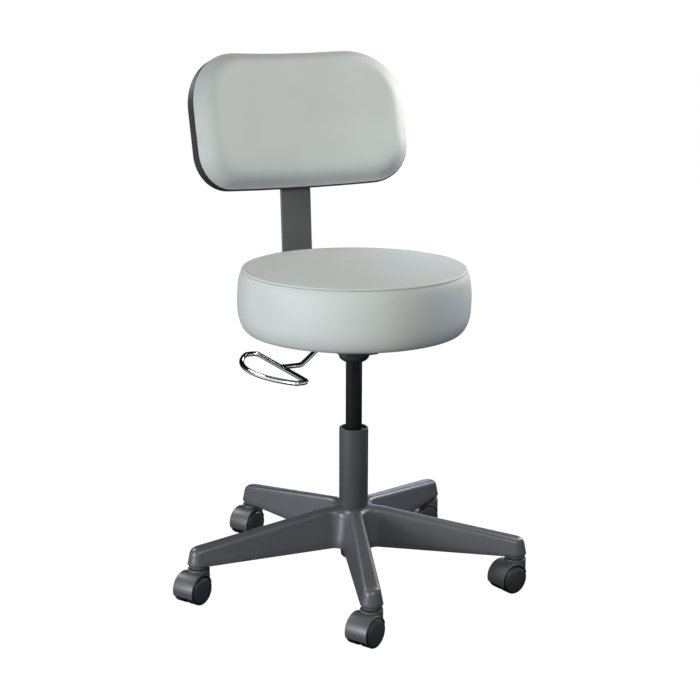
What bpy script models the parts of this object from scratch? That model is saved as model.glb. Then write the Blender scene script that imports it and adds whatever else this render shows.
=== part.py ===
"""Exam stool: a round padded seat and a padded backrest on a gas column with a five-leg caster base.

Lengths are in metres and angles in degrees. +Z is up, the sitter faces -Y, and the origin lies on the
floor under the middle of the gas column. Heights are stacked from the floor upwards.
"""
import math

import bmesh
import bpy
from mathutils import Matrix, Vector

# Fits
GAP = 0.0003            # between pieces that touch or slide on each other
WELD = 0.00001          # merge distance for caps and poles

# Casters
WHEEL_RADIUS = 0.025
WHEEL_CLEARANCE = 0.0006
WHEEL_RECESS = 0.006    # depth of the hollow in the inner side of a wheel
WHEEL_DOME = 0.0035     # how far the middle of a wheel cover stands out
DISC_PROUD = 0.001      # wheel rim beyond the side of the hood
AXLE_RADIUS = 0.003
AXLE_LENGTH = 0.036
HOOD_WALL = 0.0014
HOOD_WIDTH = 0.0415
HOOD_SIDE_ROUND = 0.0015
HOOD_WEB = 0.007        # middle wall that holds the axle
WEB_RADIUS = 0.011
HOOD_HEEL = 0.009       # the hood ends this far below the axle behind
COLLAR_RADIUS = 0.0184
COLLAR_RISE = 0.0033    # top of the collar above the barrel of the hood
COLLAR_LIP = 0.0018
COLLAR_RECESS = 0.0015
COLLAR_SKIRT = 0.0195   # height of the collar in front
CASTER_TRAIL = 0.017    # axle behind the stem
CASTER_HEADINGS = (-152.0, -170.0, -171.0, -152.0, -150.0)  # direction from stem to axle, leg by leg
STEM_RADIUS = 0.0055
STEM_SEAT = 0.006       # stem inside the hood
STEM_GRIP = 0.024       # stem inside the leg

# Five-leg base
LEG_COUNT = 5
LEG_PHASE = -110.23     # direction of the first leg
CASTER_CIRCLE = 0.283   # caster stems from the column axis
LEG_ROOT_HALF = 0.022   # half width of a leg at its foot edge, next to the hub
LEG_TIP_HALF = 0.0187   # and round the caster stem
LEG_FILLET = 0.015      # round corner between two legs
LEG_DRAFT = 10.0
LEG_EDGE = 0.005        # rounding along the top edges
TIP_EDGE = 0.010        # rounding over the end of a leg
FOOT_ROUND = 0.002      # rounding along the bottom edges
LEG_STANDOFF = 0.0063   # underside of the legs above the caster collars
BOSS_LIFT = 0.0015      # stem bosses above the collars
TIP_HEIGHT = 0.0305
HUB_HEIGHT = 0.067
BOSS_RADIUS = 0.0163
LEG_WALL = 0.0035
RIB = 0.003
RIB_BAYS = 4
SOCKET_WALL = 0.0085    # leg material round the column taper

# Gas column
COLUMN_RADIUS = 0.025
COLUMN_WALL = 0.002
COLUMN_SHOW = 0.140     # tube above the hub
COLUMN_TAIL = 0.027     # tube below the underside of the legs
COLUMN_TAPER = 1.9      # half angle of the tapered foot
COLUMN_CHAMFER = 0.0035
COLUMN_FLOOR = 0.004
RIM_ROUND = 0.002
RIM_LIP = 0.0022        # rolled rim that keeps the guide bush in
BUSH_LENGTH = 0.085
WASHER_RADIUS = 0.015
WASHER_THICKNESS = 0.002
BALL_RING_THICKNESS = 0.004
ROD_RADIUS = 0.005
ROD_NECK_RADIUS = 0.004
BUMPER_RADIUS = 0.012
BUMPER_LENGTH = 0.020
CLIP_RADIUS = 0.008
CLIP_THICKNESS = 0.0016
ROD_TAIL = 0.002        # rod below the clip
CYLINDER_RADIUS = 0.014
CYLINDER_WALL = 0.0018
GLAND_LENGTH = 0.012
PISTON_LENGTH = 0.012
LIFT_DOWN = 0.112       # travel left below the pictured height
LIFT_UP = 0.015         # and above it
PISTON_SHOW = 0.116     # cylinder between the column rim and the seat socket

# Seat mechanism
SOCKET_LENGTH = 0.033
SOCKET_THICKNESS = 0.0032
SOCKET_BOWL = 0.0275    # radius of the bowl under the housing
SOCKET_BOWL_DEPTH = 0.016
CYLINDER_TAPER = 1.4
CYLINDER_PROUD = 0.002  # cylinder above its socket
BUTTON_RADIUS = 0.004
BUTTON_SHOW = 0.0035
BUTTON_DEPTH = 0.008
HOUSING_WIDTH = 0.064
HOUSING_FRONT = 0.032
HOUSING_REAR = 0.040
HOUSING_HEIGHT = 0.0365
HOUSING_WALL = 0.0025
HOUSING_CORNER = 0.006
PLATE_HALF = 0.075
PLATE_TONGUE = 0.140    # rear end of the seat plate
PLATE_TONGUE_HALF = 0.052
PLATE_THICKNESS = 0.003
PLATE_CORNER = 0.010
BOLT_SPACING = 0.115
BOLT_RADIUS = 0.003
BOLT_HEAD_RADIUS = 0.0065
BOLT_HEAD_HEIGHT = 0.0035
BOLT_REACH = 0.009      # bolt inside the seat board

# Release lever
WIRE_RADIUS = 0.00425
LOOP_BAR = 0.134        # straight bar of the loop from the column axis
LOOP_DEPTH = 0.058
LOOP_HALF = 0.1065
LOOP_ROUND = 0.168      # radius of the outer side of the loop
LOOP_CORNER = 0.010
LOOP_DROP = 0.039       # loop below the part of the lever inside the housing
STEM_FOOT = 0.098       # where the stem starts to rise, from the column axis
STEM_SLOPE = 39.0
STEM_BEND = 0.016
LEVER_REACH = 0.006     # inner end past the middle of the button
LEVER_PIVOT = 0.022     # pivot from the column axis
PIN_RADIUS = 0.0025
SLEEVE_WALL = 0.002
SLEEVE_LENGTH = 0.018
EAR = 0.003
EAR_MARGIN = 0.0035
LEVER_SLOT_PLAY = 0.003
LEVER_LIFT = 7.0        # how far the loop is pulled up, in degrees

# Round seat
SEAT_RADIUS = 0.1965
SEAT_WELT_RADIUS = 0.189
SEAT_DEPTH = 0.106      # seat board underside to the welt
SEAT_CROWN = 0.006
SEAT_LIP = 0.182        # radius where the rounded lower edge turns flat
WELT = 0.0011
BOARD_RADIUS = 0.172
BOARD_THICKNESS = 0.012

# Back bar and its bracket
BAR_WIDTH = 0.058
BAR_THICKNESS = 0.006
BAR_BEND = 0.040        # bend radius on the middle line
BAR_LEAN = 3.5          # of the upright part
BAR_KNEE = 0.060        # bend radius below the backrest
BAR_END = 0.062         # front end of the bar, from the column axis
BAR_ENGAGE = 0.110      # bar inside the backrest
BRACKET_START = 0.058
BRACKET_WALL = 0.003
BRACKET_FLANGE = 0.013
KNOB_RADIUS = 0.018
KNOB_HEIGHT = 0.014
KNOB_LOBES = 6
KNOB_LOBE_DEPTH = 0.0016
KNOB_EDGE = 0.0015
KNOB_STUD = 0.004
KNOB_NECK = 0.004       # free stud between knob and bracket
KNOB_LOOSE = 0.0012     # height knob backed off the bar, so that the backrest slides
KNOB_PLACE = 0.100      # depth knob from the column axis

# Backrest
BACK_WIDTH = 0.400
BACK_HEIGHT = 0.239
BACK_TOP_CORNER = 0.0985
BACK_BOTTOM_CORNER = 0.063
BACK_CURVE = 0.495      # radius of the hollow front
BACK_RECLINE = 15.0
BACK_RISE = 0.3305      # middle of the backrest above the seat board
BACK_SETBACK = 0.2375   # and behind the column axis
BACK_CROWN = 0.012
BACK_EDGE_ROUND = 0.018
BACK_SEAM = 0.0135      # depth of the seam between cushion and shell
BACK_DEPTH = 0.033      # front edge to the back of the shell
BACK_BOARD = 0.011
SHELL_WALL = 0.003
SHELL_FLOOR = 0.0028
SHELL_LEDGE = 0.007     # width of the ledge that carries the back board
SHELL_TUCK = 0.004      # shell edge drawn in at the rear
SPINE_WALL = 0.0035     # channel for the bar on the back of the shell
SPINE_ABOVE = 0.012     # channel beyond the end of the bar
SPINE_BELOW = 0.008     # shell edge below the channel
BACK_KNOB_RISE = 0.034  # height knob above the lower edge of the backrest
SCREW_ACROSS = 0.075
SCREW_UP = 0.060
SCREW_DOWN = -0.040

# Facets
WHEEL_STEPS = 18
HOOD_STEPS = 24
SMALL_STEPS = 12
ROD_STEPS = 16
ROUND_STEPS = 20
TUBE_STEPS = 28
SEAT_STEPS = 44
ARC_STEPS = 5
EDGE_STEPS = 5
PANEL_SCALES = (0.12, 0.55, 1)

# Heights that follow from the sizes above
WHEEL_CORNER = WHEEL_RADIUS / math.cos(math.pi / WHEEL_STEPS)
HOOD_INSIDE = WHEEL_CORNER + WHEEL_CLEARANCE
HOOD_RADIUS = HOOD_INSIDE + HOOD_WALL
COLLAR_TOP = WHEEL_RADIUS + HOOD_RADIUS + COLLAR_RISE
COLLAR_FLOOR = COLLAR_TOP - COLLAR_RECESS
LEG_BOTTOM = COLLAR_TOP + LEG_STANDOFF
HUB_TOP = LEG_BOTTOM + HUB_HEIGHT
TIP_TOP = LEG_BOTTOM + TIP_HEIGHT
TAIL_BOTTOM = LEG_BOTTOM - COLUMN_TAIL
RIM_TOP = HUB_TOP + COLUMN_SHOW
BORE_RADIUS = COLUMN_RADIUS - COLUMN_WALL
COLUMN_FLOOR_TOP = TAIL_BOTTOM + COLUMN_FLOOR
LOWER_WASHER = COLUMN_FLOOR_TOP + GAP
BALL_RING = LOWER_WASHER + WASHER_THICKNESS + GAP
UPPER_WASHER = BALL_RING + BALL_RING_THICKNESS + GAP
ROD_SHOULDER = UPPER_WASHER + WASHER_THICKNESS + GAP
BUMPER_TOP = ROD_SHOULDER + BUMPER_LENGTH
CYLINDER_BOTTOM = BUMPER_TOP + GAP + LIFT_DOWN
PISTON_BOTTOM = CYLINDER_BOTTOM + GLAND_LENGTH + LIFT_UP + GAP
SOCKET_BOTTOM = RIM_TOP + PISTON_SHOW
SOCKET_TOP = SOCKET_BOTTOM + SOCKET_LENGTH
CYLINDER_TOP = SOCKET_TOP + CYLINDER_PROUD
BUTTON_TOP = CYLINDER_TOP + BUTTON_SHOW
HOUSING_BOTTOM = SOCKET_BOTTOM + SOCKET_BOWL_DEPTH
HOUSING_TOP = HOUSING_BOTTOM + HOUSING_HEIGHT
PLATE_BOTTOM = HOUSING_TOP + GAP
PLATE_TOP = PLATE_BOTTOM + PLATE_THICKNESS
BOARD_BOTTOM = PLATE_TOP + GAP
BOARD_TOP = BOARD_BOTTOM + BOARD_THICKNESS
LEVER_HEIGHT = BUTTON_TOP + GAP + WIRE_RADIUS
PIN_HEIGHT = LEVER_HEIGHT - WIRE_RADIUS - PIN_RADIUS - GAP - SLEEVE_WALL / 2
BAR_HEIGHT = PLATE_BOTTOM - GAP - BAR_THICKNESS / 2
BACK_MIDDLE = BOARD_BOTTOM + BACK_RISE
BAR_DEPTH = BACK_DEPTH + 2 * GAP + BAR_THICKNESS / 2
SPINE_DEPTH = BAR_DEPTH + BAR_THICKNESS / 2 + GAP + SPINE_WALL
SPINE_TOP = -BACK_HEIGHT / 2 + BAR_ENGAGE + SPINE_ABOVE

# Profiles drawn in the XY plane are turned to lie across X (side view) or across Y (front view)
SIDE_VIEW = Matrix(((0, 0, 1, 0), (1, 0, 0, 0), (0, 1, 0, 0), (0, 0, 0, 1)))
FRONT_VIEW = Matrix.Rotation(math.radians(90), 4, "X")
BACK_FRAME = Matrix.Translation((0, BACK_SETBACK, BACK_MIDDLE)) @ Matrix.Rotation(
    math.radians(-BACK_RECLINE), 4, "X"
)


# Materials


def linear(channel):
    """Linear value of one sRGB channel given as 0 to 255."""
    value = channel / 255
    if value <= 0.04045:
        return value / 12.92
    return ((value + 0.055) / 1.055) ** 2.4


def make_material(name, red, green, blue, roughness, metallic=0.0):
    material = bpy.data.materials.new(name)
    material.use_nodes = True
    shader = material.node_tree.nodes["Principled BSDF"]
    shader.inputs["Base Color"].default_value = (linear(red), linear(green), linear(blue), 1)
    shader.inputs["Roughness"].default_value = roughness
    shader.inputs["Metallic"].default_value = metallic
    material.diffuse_color = (linear(red), linear(green), linear(blue), 1)
    return material


def make_materials():
    return {
        "nylon": make_material("glass_filled_nylon", 78, 80, 83, 0.45),
        "caster": make_material("moulded_caster_plastic", 88, 91, 95, 0.38),
        "wheel": make_material("wheel_plastic", 44, 46, 48, 0.4),
        "column": make_material("powder_coated_steel", 70, 73, 75, 0.45),
        "black_steel": make_material("blackened_steel", 32, 34, 36, 0.35, 0.4),
        "bar": make_material("grey_coated_bar", 82, 82, 82, 0.5),
        "chrome": make_material("chromed_wire", 205, 207, 210, 0.08, 1.0),
        "steel": make_material("zinc_plated_steel", 170, 172, 174, 0.35, 1.0),
        "vinyl": make_material("grey_vinyl", 190, 196, 193, 0.45),
        "plywood": make_material("birch_plywood", 196, 164, 118, 0.7),
        "shell": make_material("black_shell_plastic", 52, 54, 56, 0.5),
        "rubber": make_material("black_rubber", 28, 28, 29, 0.8),
        "acetal": make_material("black_acetal", 24, 25, 26, 0.4),
    }


# Modelling helpers


def place(thing, collection, material=None):
    """Put an object in a collection and give it its material."""
    collection.objects.link(thing)
    if material:
        thing.data.materials.clear()
        thing.data.materials.append(material)
    return thing


def as_tool(thing, tools):
    """Keep an object only as a tool for Boolean cuts and unions."""
    thing.hide_render = True
    thing.display_type = "WIRE"
    return place(thing, tools)


def boolean(thing, tool, operation):
    modifier = thing.modifiers.new(operation.lower(), "BOOLEAN")
    modifier.operation = operation
    modifier.solver = "EXACT"
    modifier.object = tool


def settle(thing, sharp=35.0):
    """Turn an object with its modifiers into a plain mesh, smooth except at sharp edges."""
    bpy.context.view_layer.update()
    graph = bpy.context.evaluated_depsgraph_get()
    mesh = bpy.data.meshes.new_from_object(thing.evaluated_get(graph))
    thing.modifiers.clear()
    thing.data = mesh
    mesh.shade_smooth()
    mesh.set_sharp_from_angle(angle=math.radians(sharp))
    return thing


def turned(name, profile, steps, closed=False):
    """A body of revolution about Z from (radius, height) points, listed down the outer side."""
    mesh = bpy.data.meshes.new(name)
    count = len(profile)
    edges = [(index, index + 1) for index in range(count - 1)]
    if closed:
        edges.append((count - 1, 0))
    mesh.from_pydata([(radius, 0, height) for radius, height in profile], edges, [])
    thing = bpy.data.objects.new(name, mesh)
    screw = thing.modifiers.new("turn", "SCREW")
    screw.steps = steps
    screw.render_steps = steps
    screw.use_merge_vertices = True
    screw.merge_threshold = WELD
    screw.use_smooth_shade = True
    return thing


def drum(name, radius, bottom, top, steps=ROUND_STEPS):
    """A plain upright cylinder."""
    bm = bmesh.new()
    middle = Matrix.Translation((0, 0, (bottom + top) / 2))
    bmesh.ops.create_cone(bm, cap_ends=True, segments=steps, radius1=radius, radius2=radius,
                          depth=top - bottom, matrix=middle)
    mesh = bpy.data.meshes.new(name)
    bm.to_mesh(mesh)
    bm.free()
    return bpy.data.objects.new(name, mesh)


def ring(name, inner, outer, bottom, top, steps=ROD_STEPS):
    """A plain upright tube or washer."""
    return turned(name, [(outer, top), (outer, bottom), (inner, bottom), (inner, top)], steps, True)


def block(name, low, high):
    """A box between two corners."""
    bm = bmesh.new()
    bmesh.ops.create_cube(bm, size=1.0)
    low, high = Vector(low), Vector(high)
    for vert in bm.verts:
        part = vert.co + Vector((0.5, 0.5, 0.5))
        vert.co = Vector(low[axis] + part[axis] * (high[axis] - low[axis]) for axis in range(3))
    mesh = bpy.data.meshes.new(name)
    bm.to_mesh(mesh)
    bm.free()
    return bpy.data.objects.new(name, mesh)


def rounded_path(corners, closed=True, steps=ARC_STEPS):
    """Points along straight runs between (point, radius) corners, each corner rounded by an arc."""
    path = []
    count = len(corners)
    for index, (corner, radius) in enumerate(corners):
        point = Vector(corner).to_3d()
        open_end = not closed and index in (0, count - 1)
        if open_end or radius == 0:
            path.append(point)
            continue
        before = (Vector(corners[index - 1][0]).to_3d() - point).normalized()
        after = (Vector(corners[(index + 1) % count][0]).to_3d() - point).normalized()
        half = before.angle(after) / 2
        centre = point + (before + after).normalized() * radius / math.sin(half)
        start = point + before * radius / math.tan(half) - centre
        axis = before.cross(after)
        for step in range(steps + 1):
            turn = Matrix.Rotation(-(math.pi - 2 * half) * step / steps, 3, axis)
            path.append(centre + turn @ start)
    return path


def mesh_from_curve(curve, name, matrix):
    """A curve as a mesh object with its caps welded on."""
    drawn = bpy.data.objects.new(name + "_curve", curve)
    bpy.context.scene.collection.objects.link(drawn)
    drawn.matrix_world = matrix
    bpy.context.view_layer.update()
    graph = bpy.context.evaluated_depsgraph_get()
    mesh = bpy.data.meshes.new_from_object(drawn.evaluated_get(graph))
    bm = bmesh.new()
    bm.from_mesh(mesh)
    bmesh.ops.remove_doubles(bm, verts=bm.verts, dist=WELD)
    bmesh.ops.recalc_face_normals(bm, faces=bm.faces)
    bm.to_mesh(mesh)
    bm.free()
    thing = bpy.data.objects.new(name, mesh)
    thing.matrix_world = drawn.matrix_world
    bpy.data.objects.remove(drawn)
    return thing


def draw_spline(curve, points, closed):
    spline = curve.splines.new("POLY")
    spline.points.add(len(points) - 1)
    for node, point in zip(spline.points, points):
        node.co = (*Vector(point).to_3d(), 1)
    spline.use_cyclic_u = closed


def flat(name, outline, thickness, matrix, edge=0.0):
    """A plate cut to an outline in its own XY plane, half its thickness on each side."""
    curve = bpy.data.curves.new(name, "CURVE")
    curve.dimensions = "2D"
    curve.fill_mode = "BOTH"
    curve.extrude = thickness / 2 - edge
    curve.bevel_depth = edge
    curve.bevel_resolution = 1
    draw_spline(curve, outline, True)
    return mesh_from_curve(curve, name, matrix)


def wire(name, points, radius, closed=False):
    """A round wire along a path."""
    curve = bpy.data.curves.new(name, "CURVE")
    curve.dimensions = "3D"
    curve.bevel_depth = radius
    curve.bevel_resolution = 2
    curve.use_fill_caps = not closed
    draw_spline(curve, points, closed)
    return mesh_from_curve(curve, name, Matrix.Identity(4))


def loft(name, rings, top_count):
    """A closed body through mirrored rings, each closed at the ends by strips from side to side.

    Every patch is split along its rear diagonal, so that neighbouring bodies meet in the same facets.
    """
    bm = bmesh.new()
    loops = [[bm.verts.new(point) for point in points] for points in rings]
    for lower, upper in zip(loops, loops[1:]):
        for index in range(len(lower)):
            patch = [lower[index - 1], lower[index], upper[index], upper[index - 1]]
            if patch[0].co.y + patch[2].co.y < patch[1].co.y + patch[3].co.y:
                patch = patch[1:] + patch[:1]
            bm.faces.new((patch[0], patch[1], patch[2]))
            bm.faces.new((patch[0], patch[2], patch[3]))
    half = len(loops[0]) // 2
    first = top_count // 2
    for loop in (loops[0], loops[-1]):
        for step in range(half - 1):
            right = [first - 1 - step, first - 2 - step]
            left = [(first + step + 1) % len(loop), (first + step) % len(loop)]
            bm.faces.new([loop[index] for index in right + left])
    bmesh.ops.recalc_face_normals(bm, faces=bm.faces)
    mesh = bpy.data.meshes.new(name)
    bm.to_mesh(mesh)
    bm.free()
    return bpy.data.objects.new(name, mesh)


def axis_empty(name, location, collection, parent=None):
    """An empty on a joint axis that carries the pieces of one moving body."""
    empty = bpy.data.objects.new(name, None)
    empty.empty_display_size = 0.02
    empty.location = location
    collection.objects.link(empty)
    if parent:
        attach(empty, parent)
    return empty


def attach(thing, parent):
    """Parent an object without moving it."""
    bpy.context.view_layer.update()
    thing.parent = parent
    thing.matrix_parent_inverse = parent.matrix_world.inverted()


# Casters, drawn with the stem axis at X = 0 and the axle behind it along +X


def hood_shape(tools):
    """Barrel hood with a swivel collar, open below, with a middle wall between the two wheels."""
    half = HOOD_WIDTH / 2
    corner = HOOD_RADIUS - HOOD_SIDE_ROUND
    barrel = [
        (0, half),
        (corner, half),
        (HOOD_RADIUS, half - HOOD_SIDE_ROUND),
        (HOOD_RADIUS, HOOD_SIDE_ROUND - half),
        (corner, -half),
        (0, -half),
    ]
    axle_line = Matrix.Translation((CASTER_TRAIL, 0, WHEEL_RADIUS)) @ FRONT_VIEW
    hood = turned("hood", barrel, HOOD_STEPS)
    hood.matrix_world = axle_line
    place(hood, tools)
    collar = as_tool(drum("collar", COLLAR_RADIUS, WHEEL_RADIUS, COLLAR_TOP, ROUND_STEPS), tools)
    boolean(hood, collar, "UNION")

    # The underside slopes from the foot of the collar in front down to the heel behind.
    heel = Vector((CASTER_TRAIL + HOOD_RADIUS, 0, WHEEL_RADIUS - HOOD_HEEL))
    toe = Vector((-COLLAR_RADIUS, 0, COLLAR_TOP - COLLAR_SKIRT))
    slope = math.atan2(toe.z - heel.z, heel.x - toe.x)
    span = 2 * HOOD_RADIUS + 2 * COLLAR_RADIUS
    below = as_tool(block("below", (-span, -span, -span), (span, span, 0)), tools)
    below.matrix_world = Matrix.Translation(heel) @ Matrix.Rotation(slope, 4, "Y")
    boolean(hood, below, "DIFFERENCE")
    for side in (-1, 1):
        well = as_tool(drum("well", HOOD_INSIDE, HOOD_WEB / 2, HOOD_WIDTH, HOOD_STEPS), tools)
        well.matrix_world = axle_line @ Matrix.Rotation(math.radians(90 - 90 * side), 4, "X")
        boolean(hood, well, "DIFFERENCE")
    web = as_tool(drum("web", WEB_RADIUS, -HOOD_WEB / 2, HOOD_WEB / 2, ROUND_STEPS), tools)
    web.matrix_world = axle_line
    boolean(hood, web, "UNION")

    axle_bore = as_tool(drum("axle_bore", AXLE_RADIUS + GAP, -HOOD_WIDTH, HOOD_WIDTH, SMALL_STEPS), tools)
    axle_bore.matrix_world = axle_line
    boolean(hood, axle_bore, "DIFFERENCE")
    recess = drum("recess", COLLAR_RADIUS - COLLAR_LIP, COLLAR_FLOOR, COLLAR_TOP + COLLAR_RECESS)
    boolean(hood, as_tool(recess, tools), "DIFFERENCE")
    stem_foot = COLLAR_FLOOR - STEM_SEAT - GAP
    stem_bore = drum("stem_bore", STEM_RADIUS + GAP, stem_foot, COLLAR_TOP, SMALL_STEPS)
    boolean(hood, as_tool(stem_bore, tools), "DIFFERENCE")
    hood = settle(hood)
    hood.data.transform(hood.matrix_world)
    tools.objects.unlink(hood)
    return hood.data


def wheel_shape(tools):
    """One wheel about Z, its domed cover at the top and its hollow side with the hub below."""
    inner = HOOD_WEB / 2 + WHEEL_CLEARANCE
    rim = HOOD_WIDTH / 2 + DISC_PROUD
    crown = rim + WHEEL_DOME
    bore = AXLE_RADIUS + GAP
    hub = 2 * AXLE_RADIUS + GAP
    bore_end = AXLE_LENGTH / 2 + GAP
    profile = [
        (0, crown),
        (0.55 * WHEEL_CORNER, crown - 0.25 * WHEEL_DOME),
        (0.9 * WHEEL_CORNER, rim),
        (WHEEL_CORNER, rim - WHEEL_DOME),
        (WHEEL_CORNER, inner),
        (0.84 * WHEEL_CORNER, inner),
        (0.78 * WHEEL_CORNER, inner + WHEEL_RECESS),
        (hub, inner + WHEEL_RECESS),
        (hub, inner),
        (bore, inner),
        (bore, bore_end),
        (0, bore_end),
    ]
    wheel = place(turned("wheel", profile, WHEEL_STEPS), tools)
    wheel = settle(wheel)
    tools.objects.unlink(wheel)
    return wheel.data


def stem_shape(tools):
    """Caster stem with a chamfered top and the groove of its grip ring."""
    top = COLLAR_FLOOR + COLLAR_RECESS + LEG_STANDOFF + STEM_GRIP
    groove = 0.8 * STEM_RADIUS
    profile = [
        (0, top),
        (groove, top),
        (STEM_RADIUS, top - STEM_RADIUS / 2),
        (STEM_RADIUS, top - STEM_RADIUS),
        (groove, top - 1.4 * STEM_RADIUS),
        (STEM_RADIUS, top - 1.8 * STEM_RADIUS),
        (STEM_RADIUS, COLLAR_FLOOR - STEM_SEAT),
        (0, COLLAR_FLOOR - STEM_SEAT),
    ]
    stem = settle(place(turned("stem", profile, SMALL_STEPS), tools))
    tools.objects.unlink(stem)
    return stem.data


def axle_shape(tools):
    axle = drum("axle", AXLE_RADIUS, -AXLE_LENGTH / 2, AXLE_LENGTH / 2, SMALL_STEPS)
    axle = settle(place(axle, tools))
    tools.objects.unlink(axle)
    return axle.data


def leg_direction(index):
    return math.radians(LEG_PHASE + 360 / LEG_COUNT * index)


def make_casters(parts, tools, paint):
    shapes = {
        "hood": hood_shape(tools),
        "wheel": wheel_shape(tools),
        "stem": stem_shape(tools),
        "axle": axle_shape(tools),
    }
    finishes = {"hood": "caster", "wheel": "wheel", "stem": "steel", "axle": "steel"}
    for kind, mesh in shapes.items():
        mesh.materials.clear()
        mesh.materials.append(paint[finishes[kind]])
    level = Matrix.Translation((CASTER_TRAIL, 0, WHEEL_RADIUS)) @ FRONT_VIEW
    flipped = level @ Matrix.Rotation(math.radians(180), 4, "X")
    places = {
        "hood": Matrix.Identity(4),
        "stem": Matrix.Identity(4),
        "axle": level,
        "wheel_right": level,
        "wheel_left": flipped,
    }
    for index in range(LEG_COUNT):
        angle = leg_direction(index)
        spot = (CASTER_CIRCLE * math.cos(angle), CASTER_CIRCLE * math.sin(angle), 0)
        swivel = axis_empty(f"caster_swivel_{index + 1}", spot, parts)
        turn = CASTER_HEADINGS[index % len(CASTER_HEADINGS)]
        heading = Matrix.Rotation(math.radians(turn), 4, "Z")
        for name, local in places.items():
            mesh = shapes[name.split("_")[0]]
            piece = bpy.data.objects.new(f"caster_{name}_{index + 1}", mesh)
            parts.objects.link(piece)
            piece.matrix_world = Matrix.Translation(spot) @ heading @ local
            attach(piece, swivel)


# Five-leg base


def leg_root():
    """Distance from the column axis at which the sides of a leg run free of the hub."""
    sector = math.pi / LEG_COUNT
    return (LEG_ROOT_HALF + LEG_FILLET) / math.tan(sector)


def leg_half(along):
    """Half width of a leg at its foot edge."""
    part = (along - leg_root()) / (CASTER_CIRCLE - leg_root())
    return LEG_ROOT_HALF + (LEG_TIP_HALF - LEG_ROOT_HALF) * min(max(part, 0), 1)


def leg_top(along):
    """Height of the top of a leg: flat over the hub, then falling in a straight line."""
    part = max(0, (along - leg_root()) / (CASTER_CIRCLE - leg_root()))
    return HUB_TOP - (HUB_TOP - TIP_TOP) * part


def leg_outline():
    """One leg and half of the corners beside it, as ((along, across), outward normal) pairs."""
    sector = math.pi / LEG_COUNT
    reach = (LEG_ROOT_HALF + LEG_FILLET) / math.sin(sector)
    centre = Vector((reach * math.cos(sector), -reach * math.sin(sector)))
    half = []
    for step in range(4):
        turn = math.pi - sector + (math.pi / 2 - math.pi + sector) * step / 3
        out = Vector((math.cos(turn), math.sin(turn)))
        half.append((centre + LEG_FILLET * out, -out))
    middle = (leg_root() + CASTER_CIRCLE) / 2
    half.append((Vector((middle, -leg_half(middle))), Vector((0, -1))))
    for step in range(4):
        turn = -math.pi / 2 + math.pi / 8 * step
        out = Vector((math.cos(turn), math.sin(turn)))
        half.append((Vector((CASTER_CIRCLE, 0)) + LEG_TIP_HALF * out, out))
    tip = (Vector((CASTER_CIRCLE + LEG_TIP_HALF, 0)), Vector((1, 0)))
    mirrored = [(Vector((p.x, -p.y)), Vector((n.x, -n.y))) for p, n in reversed(half[1:])]
    return half + [tip] + mirrored


def leg_rings(outline):
    """Rings of one leg from its foot edge up the drafted sides and over the rounded top edge."""
    slope = math.tan(math.radians(LEG_DRAFT))
    rings = [[], [], [], [], []]
    for point, normal in outline:
        edge = LEG_EDGE + (TIP_EDGE - LEG_EDGE) * max(0, normal.x)
        inner = point.x - normal.x * (slope * TIP_HEIGHT + edge)
        top = leg_top(inner)
        drawn_in = slope * (top - edge - LEG_BOTTOM)
        levels = [
            (FOOT_ROUND, LEG_BOTTOM),
            (0, LEG_BOTTOM + FOOT_ROUND),
            (drawn_in, top - edge),
            (drawn_in + 0.3 * edge, top - 0.3 * edge),
            (drawn_in + edge, top),
        ]
        for ring_points, (inset, height) in zip(rings, levels):
            spot = point - normal * inset
            ring_points.append(Vector((spot.x, spot.y, height)))
    return rings


def star_body(name):
    """Solid five-leg star before its pockets and bores are cut."""
    outline = leg_outline()
    count = len(outline)
    bm = bmesh.new()
    levels = [[], [], [], [], []]
    for index in range(LEG_COUNT):
        turn = Matrix.Rotation(leg_direction(index), 3, "Z")
        for level, points in zip(levels, leg_rings(outline)):
            level.extend(bm.verts.new(turn @ point) for point in points)
    for lower, upper in zip(levels, levels[1:]):
        for index in range(len(lower)):
            bm.faces.new((lower[index - 1], lower[index], upper[index], upper[index - 1]))
    bm.faces.new(levels[0])
    # The top is closed leg by leg, across from one side to the other, and over the hub by one face.
    hub = []
    last = count
    root = 3
    for index in range(LEG_COUNT):
        top = levels[-1][index * count:(index + 1) * count]
        for left in range(root, last // 2):
            right = last - left
            if left + 1 == right - 1:
                bm.faces.new((top[left], top[left + 1], top[right]))
            else:
                bm.faces.new((top[left], top[left + 1], top[right - 1], top[right]))
        hub.extend(top[:root + 1] + top[last - root:])
    bm.faces.new(hub)
    bmesh.ops.recalc_face_normals(bm, faces=bm.faces)
    mesh = bpy.data.meshes.new(name)
    bm.to_mesh(mesh)
    bm.free()
    return bpy.data.objects.new(name, mesh)


def rib_pockets():
    """Pockets under the legs that leave outer walls, a middle rib and cross ribs."""
    slope = math.tan(math.radians(LEG_DRAFT))
    start = COLUMN_RADIUS + SOCKET_WALL
    end = CASTER_CIRCLE - LEG_TIP_HALF
    bay = (end - start + RIB) / RIB_BAYS
    bm = bmesh.new()
    for index in range(LEG_COUNT):
        turn = Matrix.Rotation(leg_direction(index), 3, "Z")
        for number in range(RIB_BAYS):
            near = start + bay * number
            far = near + bay - RIB
            for side in (-1, 1):
                for vert in bmesh.ops.create_cube(bm, size=2.0)["verts"]:
                    along = far if vert.co.x > 0 else near
                    ceiling = leg_top(along) - LEG_WALL
                    height = ceiling if vert.co.z > 0 else LEG_BOTTOM - LEG_WALL
                    outside = leg_half(along) - LEG_WALL - slope * max(0, height - LEG_BOTTOM)
                    across = outside if vert.co.y > 0 else RIB / 2
                    vert.co = turn @ Vector((along, side * across, height))
    bmesh.ops.recalc_face_normals(bm, faces=bm.faces)
    mesh = bpy.data.meshes.new("rib_pockets")
    bm.to_mesh(mesh)
    bm.free()
    return bpy.data.objects.new("rib_pockets", mesh)


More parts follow.
